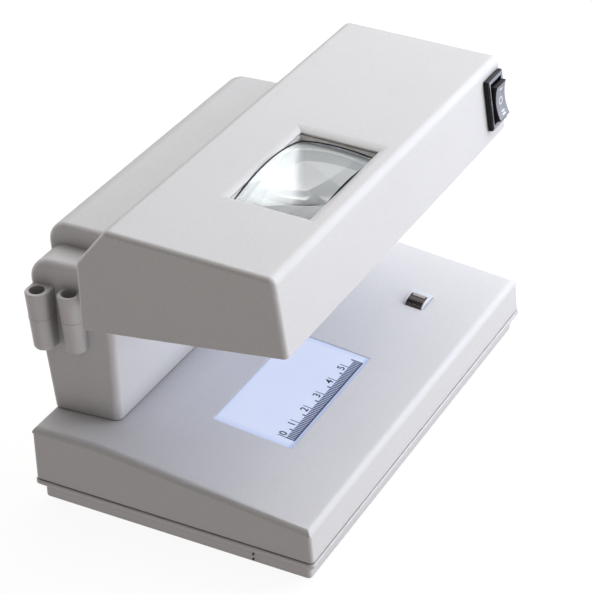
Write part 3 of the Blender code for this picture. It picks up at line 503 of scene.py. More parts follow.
FINISHES = {
    # Each shell's reach sets how far its painted shade spreads; the wide reach of the base and housing paints
    # the shadow at the column's foot
    "white_shell": white_plastic("shell_plastic", 4.0),
    "base_shell": white_plastic("base_plastic", 14.0),
    "housing_shell": white_plastic("housing_plastic", 9.0),
    # The head's edges are paler than its face: a painted highlight along them
    "head_shell": white_plastic("head_plastic", 4.0, (0.97, 0.92, 0.88)),
    # The lens seat carries a painted glow, painted shade and a painted highlight
    "lens_white": seat_plastic(),
    "dark_plastic": surface("black_plastic", (0.007, 0.007, 0.008), (0.011, 0.011, 0.013), (0.22, 0.34), 0.05,
                            wear_and_highlight=(0.03, 0.03, 0.034), wear_and_highlight_radius=0.4, IOR=1.3),
    "switch_face": surface("switch_face", (0.40, 0.41, 0.46), (0.30, 0.32, 0.38), (0.22, 0.32), 0.03,
                           wear_and_highlight=(0.46, 0.47, 0.50), wear_and_highlight_radius=0.4),
    "mark_white": surface("mark_paint", (0.85, 0.86, 0.88), (0.78, 0.79, 0.81), (0.35, 0.5), 0.03),
    "ink": surface("ruler_ink", (0.030, 0.034, 0.055), (0.045, 0.05, 0.08), (0.4, 0.6), 0.03),
    "ink_pale": surface("ruler_band_ink", (0.045, 0.07, 0.17), (0.06, 0.09, 0.20), (0.4, 0.6), 0.03),
    "opal": lit_opal(),
    "glass": lens_glass(),
    "uv_glass": glowing("uv_tube", (0.05, 0.02, 0.10), (0.30, 0.42, 1.0), 0.9),
    "lamp_white": glowing("white_tube", (0.85, 0.86, 0.86), (0.85, 0.92, 1.0), 1.5),
    "steel": surface("steel", (0.56, 0.56, 0.57), (0.48, 0.48, 0.49), (0.22, 0.38), 0.06, metallic=1.0,
                     wear_and_highlight=(0.72, 0.72, 0.72), wear_and_highlight_radius=0.3),
    "dark_steel": surface("lamination", (0.018, 0.016, 0.015), (0.028, 0.025, 0.023), (0.25, 0.4), 0.05,
                          metallic=0.4),
    "core_strip": surface("core_strip", (0.42, 0.37, 0.35), (0.50, 0.45, 0.43), (0.25, 0.4), 0.05),
    # Pale and not metallic: painted reflection of bright light on the core's polished back and end plates
    "core_plate": surface("core_plate", (0.82, 0.86, 0.93), (0.86, 0.88, 0.92), (0.25, 0.4), 0.04,
                          wear_and_highlight=(0.94, 0.95, 0.97), wear_and_highlight_radius=0.3),
    "brown_steel": surface("core_varnish", (0.105, 0.085, 0.072), (0.14, 0.115, 0.10), (0.25, 0.4), 0.05,
                           metallic=0.5),
    "aluminium": surface("aluminium", (0.80, 0.80, 0.81), (0.72, 0.72, 0.73), (0.20, 0.36), 0.06,
                         metallic=1.0),
    "brass": surface("brass", (0.72, 0.52, 0.22), (0.60, 0.42, 0.17), (0.25, 0.40), 0.05, metallic=1.0),
    "rubber": surface("rubber", (0.028, 0.028, 0.028), (0.04, 0.04, 0.04), (0.7, 0.9), 0.25, 1400.0),
    "board": surface("circuit_board", (0.02, 0.20, 0.09), (0.03, 0.26, 0.12), (0.35, 0.5), 0.06),
    "copper": surface("enamelled_copper", (0.60, 0.24, 0.10), (0.48, 0.18, 0.08), (0.25, 0.42), 0.3, 900.0,
                      metallic=1.0),
    "wire": surface("red_insulation", (0.55, 0.04, 0.03), (0.45, 0.03, 0.03), (0.35, 0.5), 0.05),
    "black_wire": surface("black_insulation", (0.02, 0.02, 0.02), (0.03, 0.03, 0.03), (0.35, 0.5), 0.05),
}


def finish_cad_nodes():
    """Give every carried-over CAD node the finish of its slot."""
    for node in frame["nodes"].values():
        for index, entry in enumerate(node.data.materials):
            node.data.materials[index] = FINISHES[entry.name.split(".")[0]]


# Base -----------------------------------------------------------------------------------

def base_solid(inward, bottom):
    """The base cover's outer form, or its hollow when moved inwards."""
    outline = ((BASE_FRONT + inward, bottom), (FRONT_TOP_Y + inward, FRONT_TOP_Z - inward),
               (PLATFORM_Y, PLATFORM_Z - inward), (BASE_REAR - inward, PLATFORM_Z - inward),
               (BASE_REAR - inward, bottom))
    points = []
    for y, z in outline:
        half = BASE_HALF - DRAFT * (z - SHELL_LOW.z) - inward
        points += [(-half, y, z), (half, y, z)]
    return hull(points)


def base_cover():
    """Base cover with rounded edges, the sloping work surface and its openings."""
    def at_top(low, high):
        return low.z > COVER_BOTTOM + 1.0 and abs((low.y + high.y) / 2 - PLATFORM_Y) > 1.0

    def upright(low, high):
        return low.z < COVER_BOTTOM + 0.1 and high.z > COVER_BOTTOM + 5.0

    cover = rounded(base_solid(0.0, COVER_BOTTOM), COVER_TOP_ROUND, 8, at_top)
    cover = rounded(cover, COVER_SIDE_ROUND, 6, upright)
    cover = cut(cover, base_solid(WALL, COVER_BOTTOM - 5.0))
    posts = []
    holes = []
    for x, y in SCREW_SPOTS:
        ends = (COVER_BOTTOM + 0.6, slope_z(y) - 1.0)
        posts.append(hull(ring(x, y, ends[0], POST_RADIUS) + ring(x, y, ends[1], POST_RADIUS)))
        holes.append(rod(POST_BORE, 7.0, (x, y, COVER_BOTTOM + 3.5)))
    cover = fuse(cover, *posts)
    middle_y = sum(WINDOW_Y) / 2
    half_y = (WINDOW_Y[1] - WINDOW_Y[0]) / 2
    window = rounded(box(WINDOW_X, (-half_y, half_y), (-6.0, 6.0)), 0.5, 4,
                     lambda low, high: high.z - low.z > 5.0)
    holes.append(placed(window, SLOPE_TILT, (0.0, middle_y, slope_z(middle_y))))
    slot = []
    for middle, half in zip(CORE_MIDDLE, CORE_HALF):
        slot.append((middle - half - CORE_CLEARANCE, middle + half + CORE_CLEARANCE))
    holes.append(box(*slot, (slope_z(slot[1][0]) - 6.0, slope_z(slot[1][1]) + 6.0)))
    cover = cut(cover, *holes)
    piece("base_cover", cover, "base_shell", ["base_top_shell"], soften=0.22)


def base_bottom():
    """Bottom tray: proud rounded rim, recessed wall, posts with screw wells."""
    def band(grow, low, high):
        x = (TRAY_LOW.x - grow, TRAY_HIGH.x + grow)
        y = (TRAY_LOW.y - grow, TRAY_HIGH.y + grow)
        return box(x, y, (low, high))

    def upright(low, high):
        return high.z - low.z > 1.0

    def at_rim(low, high):
        return low.z > RIM_TOP - 0.05 or high.z < RIM_TOP - RIM_HEIGHT + 0.1

    wall = rounded(band(-TRAY_INSET, TRAY_LOW.z, TRAY_HIGH.z - 0.6), 1.6, 6, upright)
    wall = rounded(wall, 0.8, 5, lambda low, high: high.z < TRAY_LOW.z + 0.1)
    rim = rounded(band(0.0, RIM_TOP - RIM_HEIGHT, RIM_TOP), 2.0, 6, upright)
    rim = rounded(rim, 0.5, 4, at_rim)
    tray = fuse(wall, rim)
    tray = cut(tray, band(-TRAY_INSET - WALL, TRAY_LOW.z + WALL, TRAY_HIGH.z + 5.0))
    posts = [rod(WELL_RADIUS + 1.5, 7.4, (x, y, TRAY_LOW.z + 5.1)) for x, y in SCREW_SPOTS]
    tray = fuse(tray, *posts)
    holes = []
    for x, y in SCREW_SPOTS:
        holes.append(rod(WELL_RADIUS, 10.0, (x, y, TRAY_LOW.z - 0.1)))
        holes.append(rod(1.8, 20.0, (x, y, TRAY_LOW.z + 4.5)))
    piece("base_bottom", cut(tray, *holes), "white_shell", ["base_tray"])


def tray_marks():
    """Two small moulding dots on the left of the tray, near its front."""
    dots = bmesh.new()
    turn = Matrix.Rotation(math.radians(90), 4, "Y")
    for z in DOTS_Z:
        place = Matrix.Translation((TRAY_LOW.x + TRAY_INSET - 0.15, DOTS_Y, z))
        bmesh.ops.create_cone(dots, cap_ends=True, segments=20, radius1=DOT_RADIUS, radius2=DOT_RADIUS,
                              depth=0.5, matrix=place @ turn)
    piece("tray_moulding_dots", dots, "rubber")


def diffuser():
    """Lit opal plate, flush with the slope."""
    half_x = (WINDOW_X[1] - WINDOW_X[0]) / 2 - GAP / 2
    half_y = (WINDOW_Y[1] - WINDOW_Y[0]) / 2 - GAP / 2
    place = (sum(WINDOW_X) / 2, sum(WINDOW_Y) / 2, slope_z(sum(WINDOW_Y) / 2))
    plate = rounded(box((-half_x, half_x), (-half_y, half_y), (-WALL - 1.2, -WINDOW_SINK)), 0.25, 4,
                    lambda low, high: high.z > -0.2)
    piece("opal_window", placed(plate, SLOPE_TILT, place), "opal", ["watermark_window"])


RULER_START = -49.4
RULER_FRONT = -30.4
RULER_LENGTH = 55
INK_HEIGHT = 0.05
BASELINE_TOP = 0.25
BAND_TOP = 3.3
CENTIMETRE_MARK = (6.9, 0.17)
HALF_MARK = (4.6, 0.3)
DIGIT_SIZE = 4.2
DIGIT_Y = 5.3
DIGIT_SIDES = (1.6, -1.9)


def ruler_point(x, y, lift=0.0):
    """Point on the diffuser, x along the ruler and y towards the rear."""
    along = RULER_FRONT + y * math.cos(SLOPE_TILT)
    return (RULER_START + x, along, slope_z(along) - WINDOW_SINK + lift)


def ruler_bar(bm, x, y):
    """Add a thin printed bar between two x and two y values of the ruler."""
    corners = [(x[0], y[0]), (x[1], y[0]), (x[1], y[1]), (x[0], y[1])]
    low = [bm.verts.new(ruler_point(a, b, 0.01)) for a, b in corners]
    high = [bm.verts.new(ruler_point(a, b, INK_HEIGHT)) for a, b in corners]
    bm.faces.new(high)
    bm.faces.new(low[::-1])
    for index in range(4):
        after = (index + 1) % 4
        bm.faces.new((low[index], low[after], high[after], high[index]))


def ruler():
    """Printed ruler: thick baseline, millimetre band, half and whole centimetre marks, numbers."""
    band = bmesh.new()
    for step in range(RULER_LENGTH + 1):
        ruler_bar(band, (step - 0.33, step + 0.33), (BASELINE_TOP, BAND_TOP))
    piece("ruler_band", band, "ink_pale")
    marks = bmesh.new()
    ruler_bar(marks, (-0.3, RULER_LENGTH + 0.3), (-0.3, BASELINE_TOP))
    for step in range(0, RULER_LENGTH + 1, 5):
        reach, width = HALF_MARK if step % 10 else CENTIMETRE_MARK
        ruler_bar(marks, (step - width, step + width), (BAND_TOP, reach))
    piece("ruler_marks", marks, "ink")
    for number in range(RULER_LENGTH // 10 + 1):
        text = bpy.data.curves.new("digit", "FONT")
        text.body = str(number)
        text.size = DIGIT_SIZE
        text.extrude = 0.02
        text.offset = 0.07
        text.align_x = "CENTER"
        text.align_y = "CENTER"
        guide = bpy.data.objects.new("digit", text)
        bpy.context.scene.collection.objects.link(guide)
        bpy.context.view_layer.update()
        flat = bpy.data.meshes.new_from_object(guide.evaluated_get(bpy.context.evaluated_depsgraph_get()))
        bpy.data.objects.remove(guide)
        digit = bmesh.new()
        digit.from_mesh(flat)
        side = DIGIT_SIDES[number > 0]
        place = ruler_point(10 * number + side, DIGIT_Y, INK_HEIGHT)
        piece("ruler_number_" + str(number), placed(digit, SLOPE_TILT, place), "ink")


def magnetic_head():
    """Magnetic head: half-round core in bands round its curve; the dark and brown bands on its left side are
    partly laminations, partly painted reflection of dark surroundings, and the pale back and pale end plates
    are painted reflection of bright light on polished metal.
    """
    half_x, half_y = CORE_HALF
    place = (CORE_MIDDLE[0], CORE_MIDDLE[1], slope_z(CORE_MIDDLE[1]))
    steps = 36
    outline = []
    for step in range(steps + 1):
        angle = math.pi * (1 - step / steps)
        height = CORE_RISE * math.sin(angle) ** 0.7 if 0 < step < steps else 0.0
        outline.append((half_x * math.cos(angle), height))
    inner = half_y - CORE_END_PLATE
    strip = inner - CORE_STRIP_END
    # Bands by angle: dark towards the left-facing side, pale over the top and right, as painted reflection
    layers = (("brown_steel", 0, 5, -inner, inner), ("dark_steel", 5, 10, -inner, inner),
              ("brown_steel", 10, 15, -inner, inner), ("dark_steel", 15, 17, -inner, inner),
              ("core_strip", 17, 21, -strip, strip), ("dark_steel", 17, 20, -inner, -strip),
              ("dark_steel", 17, 20, strip, inner), ("core_plate", 20, steps, -inner, inner))
    for number, (finish, start, end, front, rear) in enumerate(layers):
        points = []
        for x, z in outline[start:end + 1]:
            points += [(x, y, height) for y in (front, rear) for height in (z, -CORE_DEPTH)]
        piece("magnetic_core_" + str(number), placed(hull(points), SLOPE_TILT, place), finish)
    for name, side in (("front", -1), ("rear", 1)):
        near, far = sorted((side * half_y, side * (inner + 0.02)))
        plate = hull([(x, y, z) for x, z in outline for y in (near, far)]
                     + [(x, y, -CORE_DEPTH) for x in (-half_x, half_x) for y in (near, far)])
        plate = placed(plate, SLOPE_TILT, place)
        replaced = ["magnetic_head"] if name == "front" else ()
        piece("magnetic_end_plate_" + name, plate, "core_plate", replaced)


# Rear housing ---------------------------------------------------------------------------

def arc(centre_y, centre_z, radius, start, end, steps):
    """Points of an arc in the (y, z) plane between two angles in degrees."""
    angles = [math.radians(start + (end - start) * step / steps) for step in range(steps + 1)]
    return [(centre_y + radius * math.cos(angle), centre_z + radius * math.sin(angle)) for angle in angles]


def housing_profile(front, bottom, top, inward):
    """Side outline of the column or the block, with its leaning rear and rounded top edges."""
    points = [(front + inward, bottom), (rear_y(bottom) - inward, bottom)]
    points += arc(HOUSING_HIGH.y - REAR_ROUND, top - REAR_ROUND, REAR_ROUND - inward, 0, 90, 14)
    points += arc(front + FRONT_ROUND, top - FRONT_ROUND, max(0.02, FRONT_ROUND - inward), 90, 180, 6)
    if top > SHOULDER_TOP:
        return points
    return points + [(HOUSING_HIGH.y - inward, REAR_LEAN_TOP)]


def filleted(outline, ends):
    """Solid swept along X between two ends, each a place along X at depth y and an edge radius."""
    steps = 8
    points = []
    for place, side, radius in ends:
        for step in range(steps + 1):
            angle = math.pi / 2 * step / steps
            for y, z in outline(radius * (1 - math.cos(angle))):
                points.append((place(y) - side * radius * (1 - math.sin(angle)), y, z))
    return hull(points)


def column_half(y):
    """Half width of the column, wider at the rear than at the front."""
    share = (y - COLUMN_FRONT) / (HOUSING_HIGH.y - COLUMN_FRONT)
    return COLUMN_HALVES[0] + (COLUMN_HALVES[1] - COLUMN_HALVES[0]) * share


def column_solid(inward, bottom, radius=0.01):
    """Column body; its side edges have the given radius."""
    ends = [(lambda y: inward - column_half(y), -1, radius), (lambda y: column_half(y) - inward, 1, radius)]
    return filleted(lambda inset: housing_profile(COLUMN_FRONT, bottom, SHOULDER_TOP, inward + inset), ends)


def block_solid(inward, bottom, radii=(0.01, 0.01)):
    """Upper block behind the head, with a radius for each end."""
    ends = [(lambda y: BLOCK_X[0] + inward, -1, radii[0]), (lambda y: BLOCK_X[1] - inward, 1, radii[1])]
    return filleted(lambda inset: housing_profile(BLOCK_FRONT, bottom, HOUSING_HIGH.z, inward + inset), ends)


def pen_socket(x, y, grow=0.0, bottom=PEN_BOTTOM, top=PEN_TOP):
    """Pen socket that leans towards the column, with its web; its foot and its top edge are rounded."""
    radius = PEN_RADIUS + grow
    levels = ((top, radius - 0.35), (top - 0.4, radius), (bottom + 0.9, radius - 0.12),
              (bottom + 0.25, radius - 0.45), (bottom, radius - 1.1))
    points = []
    for z, reach in levels:
        centre = x + (PEN_TOP - z) * PEN_LEAN
        points += [point for point in ring(centre, y, z, reach) if point[0] <= centre + 0.01]
        points += [(PEN_WEB_X, y - reach, z), (PEN_WEB_X, y + reach, z)]
    return hull(points)


def pen_bore(x, y):
    """Tapered hole of a pen socket."""
    mouth = ring(x + 0.2, y, PEN_TOP + 1.0, PEN_BORE)
    return hull(mouth + ring(x + 1.2, y, PEN_TOP - PEN_DEPTH, PEN_BORE - 0.3))


def rear_slab(half_x, z, depth):
    """Box that follows the leaning rear face, between two depths below it."""
    return hull([(a, rear_y(c) - d, c) for a in (-half_x, half_x) for c in z for d in depth])


def housing():
    """Column, shoulder, upper block and pen sockets in one moulding."""
    bottom = HOUSING_LOW.z
    body = fuse(column_solid(0.0, bottom, COLUMN_EDGE), block_solid(0.0, SHOULDER_TOP - 15.0, BLOCK_EDGES))
    for x, y in PEN_SPOTS:
        socket = fuse(pen_socket(x, y), pen_socket(x, y, 0.12, PEN_RING - 1.1, PEN_RING + 0.2))
        body = fuse(body, cut(socket, pen_bore(x, y)))
    body = cut(body, column_solid(WALL, bottom + WALL))
    body = cut(body, block_solid(WALL, bottom + 30.0))
    step_for_head = box((-95.0, 95.0), (COLUMN_FRONT - 5.0, COLUMN_FRONT + 2.1), (HEAD_LOW.z - 0.8, 130.0))
    body = cut(body, step_for_head)
    wall_behind_head = box((-73.0, 73.0), (COLUMN_FRONT + 2.25, COLUMN_FRONT + 4.8), (79.0, 94.0))
    cover_surround = rear_slab(51.0, (38.0, 85.0), (0.3, 4.6))
    body = fuse(body, wall_behind_head, cover_surround)
    cover_recess = rear_slab(46.3, (42.0, 82.0), (-5.0, 2.3))
    cover_opening = rear_slab(41.0, (46.5, 77.5), (-5.0, 9.0))
    body = cut(body, cover_recess, cover_opening)
    piece("housing", body, "housing_shell", ["rear_housing"], soften=0.2)


# Head -----------------------------------------------------------------------------------

LENS_MIDDLE = (sum(LENS_X) / 2, sum(LENS_Y) / 2)
OPEN_HALF_X = (LENS_X[1] - LENS_X[0]) / 2 - BEVEL_WIDTH
OPEN_HALF_Y = (LENS_Y[1] - LENS_Y[0]) / 2 - BEVEL_WIDTH


def inset(profile, distance, open_edge, extension):
    """Move each edge of a convex clockwise (y, z) profile inwards, one edge outwards instead."""
    lines = []
    for index, start in enumerate(profile):
        start, end = Vector(start), Vector(profile[(index + 1) % len(profile)])
        along = (end - start).normalized()
        shift = -extension if index == open_edge else distance
        lines.append((start + Vector((-along.y, along.x)) * shift, along))
    points = []
    for index in range(len(profile)):
        (a, along_a), (b, along_b) = lines[index - 1], lines[index]
        cross = along_a.x * along_b.y - along_a.y * along_b.x
        points.append(tuple(a + along_a * (((b.x - a.x) * along_b.y - (b.y - a.y) * along_b.x) / cross)))
    return points


def head_cover():
    """Head cover with rounded edges, the bevelled lens window and the switch opening."""
    lowest, front_y = HEAD_PROFILE[1][1], HEAD_PROFILE[0][0]

    def at_front(low, high):
        return low.z > lowest + 1.0 and high.y < front_y + 0.1

    def at_side_or_rear(low, high):
        side = abs(low.x - high.x) < 0.1
        rear = low.y > front_y + 10.0 and low.z > lowest
        return high.z > lowest + 0.1 and (side or rear)

    cover = prism(HEAD_PROFILE, (-HEAD_HALF, HEAD_HALF))
    cover = rounded(cover, HEAD_FRONT_ROUND, 8, at_front)
    cover = rounded(cover, HEAD_SIDE_ROUND, 6, at_side_or_rear)
    cover = cut(cover, prism(inset(HEAD_PROFILE, WALL, 1, 12.0), (-HEAD_HALF + WALL, HEAD_HALF - WALL)))
    place = top_place(*LENS_MIDDLE)
    flare = []
    for grow, z in ((3.0 * BEVEL_WIDTH, 2 * BEVEL_DEPTH), (0.0, -BEVEL_DEPTH)):
        for side_x in (-1, 1):
            for side_y in (-1, 1):
                flare.append((side_x * (OPEN_HALF_X + grow), side_y * (OPEN_HALF_Y + grow), z))
    opening = box((-OPEN_HALF_X, OPEN_HALF_X), (-OPEN_HALF_Y, OPEN_HALF_Y), (-9.0, 1.0))
    low, high = span("switch_body")
    hole = box((low.x + 0.7, high.x - 0.7), (-60.0, -20.0), (low.z + 0.8, high.z - 1.2))
    cover = cut(cover, placed(hull(flare), TOP_TILT, place), placed(opening, TOP_TILT, place), hole)
    piece("head_cover", cover, "head_shell", ["head_shell"], soften=0.45)


def lens_height(x, y):
    """Height of the lens's curved face over the head's top plane."""
    return LENS_CROWN - (x * x + y * y) / (2 * LENS_CURVE)


def lens():
    """Plano-convex lens block."""
    half_x, half_y = OPEN_HALF_X - LENS_CLEARANCE, OPEN_HALF_Y - LENS_CLEARANCE
    columns, rows = 64, 40
    bm = bmesh.new()
    top, bottom = [], []
    for row in range(rows + 1):
        for column in range(columns + 1):
            x = -half_x + 2 * half_x * column / columns
            y = -half_y + 2 * half_y * row / rows
            top.append(bm.verts.new((x, y, lens_height(x, y))))
            bottom.append(bm.verts.new((x, y, -LENS_EDGE)))
    width = columns + 1
    for row in range(rows):
        for column in range(columns):
            a = row * width + column
            bm.faces.new((top[a], top[a + 1], top[a + 1 + width], top[a + width]))
            bm.faces.new((bottom[a], bottom[a + width], bottom[a + 1 + width], bottom[a + 1]))
    border = list(range(columns)) + [row * width + columns for row in range(rows)]
    border += [rows * width + column for column in range(columns, 0, -1)]
    border += [row * width for row in range(rows, 0, -1)]
    for index, a in enumerate(border):
        b = border[(index + 1) % len(border)]
        bm.faces.new((top[a], bottom[a], bottom[b], top[b]))
    piece("lens", placed(bm, TOP_TILT, top_place(*LENS_MIDDLE)), "glass", ["magnifier_lens"])


def lens_seat():
    """Tunnel that holds the lens on a ledge."""
    outer = box((-OPEN_HALF_X - SEAT_WALL, OPEN_HALF_X + SEAT_WALL),
                (-OPEN_HALF_Y - SEAT_FRONT_WALL, OPEN_HALF_Y + SEAT_WALL), (-SEAT_DEPTH, -WALL - GAP))
    pocket = box((-OPEN_HALF_X, OPEN_HALF_X), (-OPEN_HALF_Y, OPEN_HALF_Y), (-LENS_EDGE - GAP, 5.0))
    ledge_x, ledge_y = OPEN_HALF_X - SEAT_LEDGE, OPEN_HALF_Y - SEAT_LEDGE
    through = rounded(box((-ledge_x, ledge_x), (-ledge_y, ledge_y), (-40.0, 5.0)), 1.5, 5,
                      lambda low, high: high.z - low.z > 10.0)
    seat = placed(cut(outer, pocket, through), TOP_TILT, top_place(*LENS_MIDDLE))
    piece("lens_seat", seat, "lens_white", ["lens_frame"], soften=0.2)


def lens_gasket():
    """Thin dark ring that follows the lens's curved edge: a gasket that also stands in, as painted shade, for
    the dark rim that total internal reflection and shadow give the lens's edge.
    """
    outer = (OPEN_HALF_X - 0.03, OPEN_HALF_Y - 0.03)
    inner = (OPEN_HALF_X - 0.22, OPEN_HALF_Y - 0.22)
    steps = 24
    around = []
    for side in range(4):
        for step in range(steps):
            share = -1 + 2 * step / steps
            around.append([(share, -1), (1, share), (-share, 1), (-1, -share)][side])
    bm = bmesh.new()
    rings = []
    for half, lift in ((outer, 0.55), (inner, 0.45), (inner, -0.7), (outer, -0.7)):
        corners = []
        for x, y in around:
            z = lens_height(x * outer[0], y * outer[1]) + lift
            corners.append(bm.verts.new((x * half[0], y * half[1], z)))
        rings.append(corners)
    for first, second in zip(rings, rings[1:] + rings[:1]):
        for index in range(len(around)):
            after = (index + 1) % len(around)
            bm.faces.new((first[index], first[after], second[after], second[index]))
    piece("lens_gasket", placed(bm, TOP_TILT, top_place(*LENS_MIDDLE)), "rubber")


# Switch ---------------------------------------------------------------------------------

ROCKER = next(joint for joint in frame["joints"] if joint["name"] == "rocker_tilt")
PIVOT = Vector(ROCKER["pos_m"]) / UNIT
FACE_Y = -1.2
BEZEL_HALF = (7.0, 10.2)
BODY_HALF = (5.9, 9.3)
CAVITY_HALF = (4.9, 8.3)
ROCKER_HALF = (4.4, 7.0)
ROCKER_STEPS = 24
BAR_X = (-1.0, 1.6)


def rocker_face(height):
    """Depth of the rocker's hollow face at a height above its pivot."""
    share = height / ROCKER_HALF[1]
    return FACE_Y - 3.2 - 1.2 * share * share


def upright_box(half, y, grow=0.0):
    """Box round the pivot with the given half width and half height."""
    x, z = half[0] + grow, half[1] + grow
    return box((-x, x), y, (-z, z))


def switch():
    """Bezel with a pale front plate as a painted highlight, rocker with a hollow face, and the generic marks.
    """
    bezel = rounded(upright_box(BEZEL_HALF, (FACE_Y - 2.0, FACE_Y - GAP)), 0.6, 4,
                    lambda low, high: min(low.y, high.y) < FACE_Y - 1.9)
    bezel = fuse(bezel, upright_box(BODY_HALF, (FACE_Y - 1.0, 12.0)))
    bezel = cut(bezel, upright_box(CAVITY_HALF, (FACE_Y - 5.0, 10.8)))
    piece("switch_bezel", placed(bezel, FACE_TILT, PIVOT), "dark_plastic", ["switch_body"])
    # Pale plate: painted highlight where the bezel's face catches light, kept narrow on the left, where that
    # face lies in shade
    plate = box((-5.7, 6.5), (FACE_Y - 2.06, FACE_Y - 1.9), (-9.7, 9.7))
    plate = cut(plate, upright_box(CAVITY_HALF, (FACE_Y - 5.0, 1.0), 0.05))
    piece("switch_bezel_painted_highlight", placed(plate, FACE_TILT, PIVOT), "switch_face")

    half_x, half_z = ROCKER_HALF
    heights = [-half_z + 2 * half_z * step / ROCKER_STEPS for step in range(ROCKER_STEPS + 1)]
    outline = [(rocker_face(height), height) for height in heights]
    outline += [(FACE_Y - 1.0, 7.4), (1.0, 5.2), (2.2, 1.6), (5.9, 0.9), (6.6, 0.0), (5.9, -0.9), (2.2, -1.6),
                (1.0, -5.2), (FACE_Y - 1.0, -7.4)]
    bm = bmesh.new()
    face = bm.faces.new([bm.verts.new((-half_x, y, z)) for y, z in outline])
    moved = bmesh.ops.extrude_face_region(bm, geom=[face])["geom"]
    bmesh.ops.translate(bm, vec=(2 * half_x, 0.0, 0.0),
                        verts=[part for part in moved if isinstance(part, bmesh.types.BMVert)])
    piece("rocker", placed(bm, FACE_TILT, PIVOT), "dark_plastic", ["switch_rocker"], "rocker", soften=0.25)

    skin = bmesh.new()
    ends = []
    for height in heights:
        z = height - 0.3 * height / half_z
        ends.append([skin.verts.new((x, rocker_face(z) - 0.02, z)) for x in (0.3 - half_x, half_x - 0.3)])
    for low, high in zip(ends, ends[1:]):
        skin.faces.new((low[0], low[1], high[1], high[0]))
    piece("rocker_face", placed(skin, FACE_TILT, PIVOT), "switch_face", body="rocker")
    mark("mark_one", [bar(4.6, 0.42)])
    mark("mark_off", circle(0.0, 1.15, 1.75))
    mark("mark_two", [bar(-4.3, 0.38), bar(-5.5, 0.38)])


def mark(name, strokes):
    """Join flat strokes, each a list of (x, z) corners, on the rocker's face."""
    shape = bmesh.new()
    for corners in strokes:
        shape.faces.new([shape.verts.new((x, rocker_face(z) - 0.05, z)) for x, z in corners])
    piece(name, placed(shape, FACE_TILT, PIVOT), "mark_white", body="rocker")


def bar(z, half_z):
    """Corners of a level stroke."""
    low, high = z - half_z, z + half_z
    return [(BAR_X[0], low), (BAR_X[1], low), (BAR_X[1], high), (BAR_X[0], high)]


def circle(z, inner, outer):
    """Strokes of a ring, a little flatter than wide."""
    steps = 28
    strokes = []
    for step in range(steps):
        start, end = 2 * math.pi * step / steps, 2 * math.pi * (step + 1) / steps
        corners = []
        for reach, angle in ((outer, start), (outer, end), (inner, end), (inner, start)):
            corners.append((reach * math.cos(angle), z + 0.95 * reach * math.sin(angle)))
        strokes.append(corners)
    return strokes


# Scene, in metres -----------------------------------------------------------------------

CAMERA_PLACE = (-0.58541, -0.32608, 0.47262)
CAMERA_TURN = Euler([math.radians(angle) for angle in (57.8342, 1.4583, -62.2293)])


def camera():
    """Long lens from the front left, looking 32 degrees down."""
    data = bpy.data.cameras.new("camera")
    data.lens = 127.25
    data.sensor_width = 36.0
    data.shift_x = 0.0002
    data.clip_start = 0.01
    item = bpy.data.objects.new("camera", data)
    bpy.context.scene.collection.objects.link(item)
    item.location = CAMERA_PLACE
    item.rotation_euler = CAMERA_TURN
    bpy.context.scene.camera = item


# Name, direction from the object, colour and brightness.
LIGHTS = (
    ("top", (0.0, 0.0, 1.0), (1.0, 0.90, 0.80), 0.10),
    ("left_high", (-0.75, -0.15, 0.65), (1.0, 0.93, 0.87), 0.10),
    ("top_right", (0.6, 0.0, 0.8), (1.0, 0.98, 0.95), 0.45),
    ("top_rear", (0.3, 0.7, 0.7), (0.95, 0.97, 1.0), 0.22),
    ("front_high", (0.1, -0.75, 0.65), (0.96, 0.98, 1.0), 0.07),
    ("front_low", (0.2, -1.0, 0.1), (0.97, 0.98, 1.0), 0.44),
    ("right_front_high", (0.7, -0.6, 0.5), (0.84, 0.89, 1.0), 0.86),
    ("rear", (0.1, 1.0, -0.1), (1.0, 0.98, 0.96), 0.30),
)
LIGHT_DISTANCE = 0.9
LIGHT_SIZE = 0.9
FLOOR_BOUNCE = (0.475, 0.445, 0.435)
FLOOR_SIZE = 20.0


def lights():
    """Large soft lamps round the object, each aimed at its middle."""
    middle = (CAD_BOX[0] + CAD_BOX[1]) / 2
    for name, direction, tint, brightness in LIGHTS:
        data = bpy.data.lights.new(name, "AREA")
        data.shape = "SQUARE"
        data.size = LIGHT_SIZE
        data.color = tint
        data.energy = brightness * (math.pi * LIGHT_DISTANCE) ** 2
        item = bpy.data.objects.new(name, data)
        bpy.context.scene.collection.objects.link(item)
        away = Vector(direction).normalized()
        item.location = middle + away * LIGHT_DISTANCE
        item.rotation_euler = away.to_track_quat("Z", "Y").to_euler()


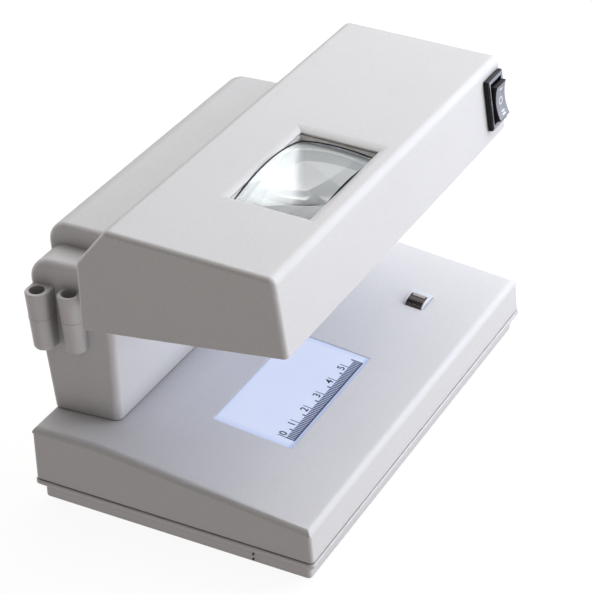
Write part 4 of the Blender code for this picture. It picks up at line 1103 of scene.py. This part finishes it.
def background():
    """Light thrown up by a pale floor, and a white background."""
    bpy.context.scene.view_settings.view_transform = "Standard"
    world = bpy.data.worlds.new("studio")
    bpy.context.scene.world = world
    world.use_nodes = True
    tree = world.node_tree
    split = tree.nodes.new("ShaderNodeSeparateXYZ")
    tree.links.new(tree.nodes.new("ShaderNodeTexCoord").outputs["Generated"], split.inputs[0])
    below = tree.nodes.new("ShaderNodeMapRange")
    tree.links.new(split.outputs[2], below.inputs[0])
    for index, number in enumerate((-0.02, 0.02, 1.0, 0.0), 1):
        below.inputs[index].default_value = number
    bounce = tree.nodes["Background"]
    tree.links.new(below.outputs[0], bounce.inputs["Strength"])
    bounce.inputs["Color"].default_value = colour(*FLOOR_BOUNCE)
    backdrop = tree.nodes.new("ShaderNodeBackground")
    backdrop.inputs["Color"].default_value = colour(1.0, 1.0, 1.0)
    shown = tree.nodes.new("ShaderNodeMixShader")
    tree.links.new(tree.nodes.new("ShaderNodeLightPath").outputs["Is Camera Ray"], shown.inputs[0])
    tree.links.new(bounce.outputs[0], shown.inputs[1])
    tree.links.new(backdrop.outputs[0], shown.inputs[2])
    tree.links.new(shown.outputs[0], tree.nodes["World Output"].inputs["Surface"])


def paper_floor():
    """Plain pale floor with a faint glow."""
    made = Nodes("floor_paper")
    made.give(made.shader.inputs["Emission Color"], made.cloud(4.0, (1.0, 1.0, 1.0), (0.98, 0.98, 0.98)))
    made.shader.inputs["Emission Strength"].default_value = 0.92
    made.shader.inputs["Base Color"].default_value = colour(0.14, 0.14, 0.14)
    made.shader.inputs["Roughness"].default_value = 0.9
    bm = bmesh.new()
    bmesh.ops.create_grid(bm, x_segments=1, y_segments=1, size=FLOOR_SIZE)
    mesh = bpy.data.meshes.new("floor")
    bm.to_mesh(mesh)
    bm.free()
    mesh.materials.append(made.material)
    floor = bpy.data.objects.new("floor", mesh)
    bpy.context.scene.collection.objects.link(floor)
    floor.visible_diffuse = False
    floor.visible_glossy = False


def main():
    """Build everything on the frame."""
    camera()
    lights()
    background()
    paper_floor()
    finish_cad_nodes()
    base_cover()
    base_bottom()
    tray_marks()
    diffuser()
    ruler()
    magnetic_head()
    housing()
    head_cover()
    lens()
    lens_seat()
    lens_gasket()
    switch()


main()
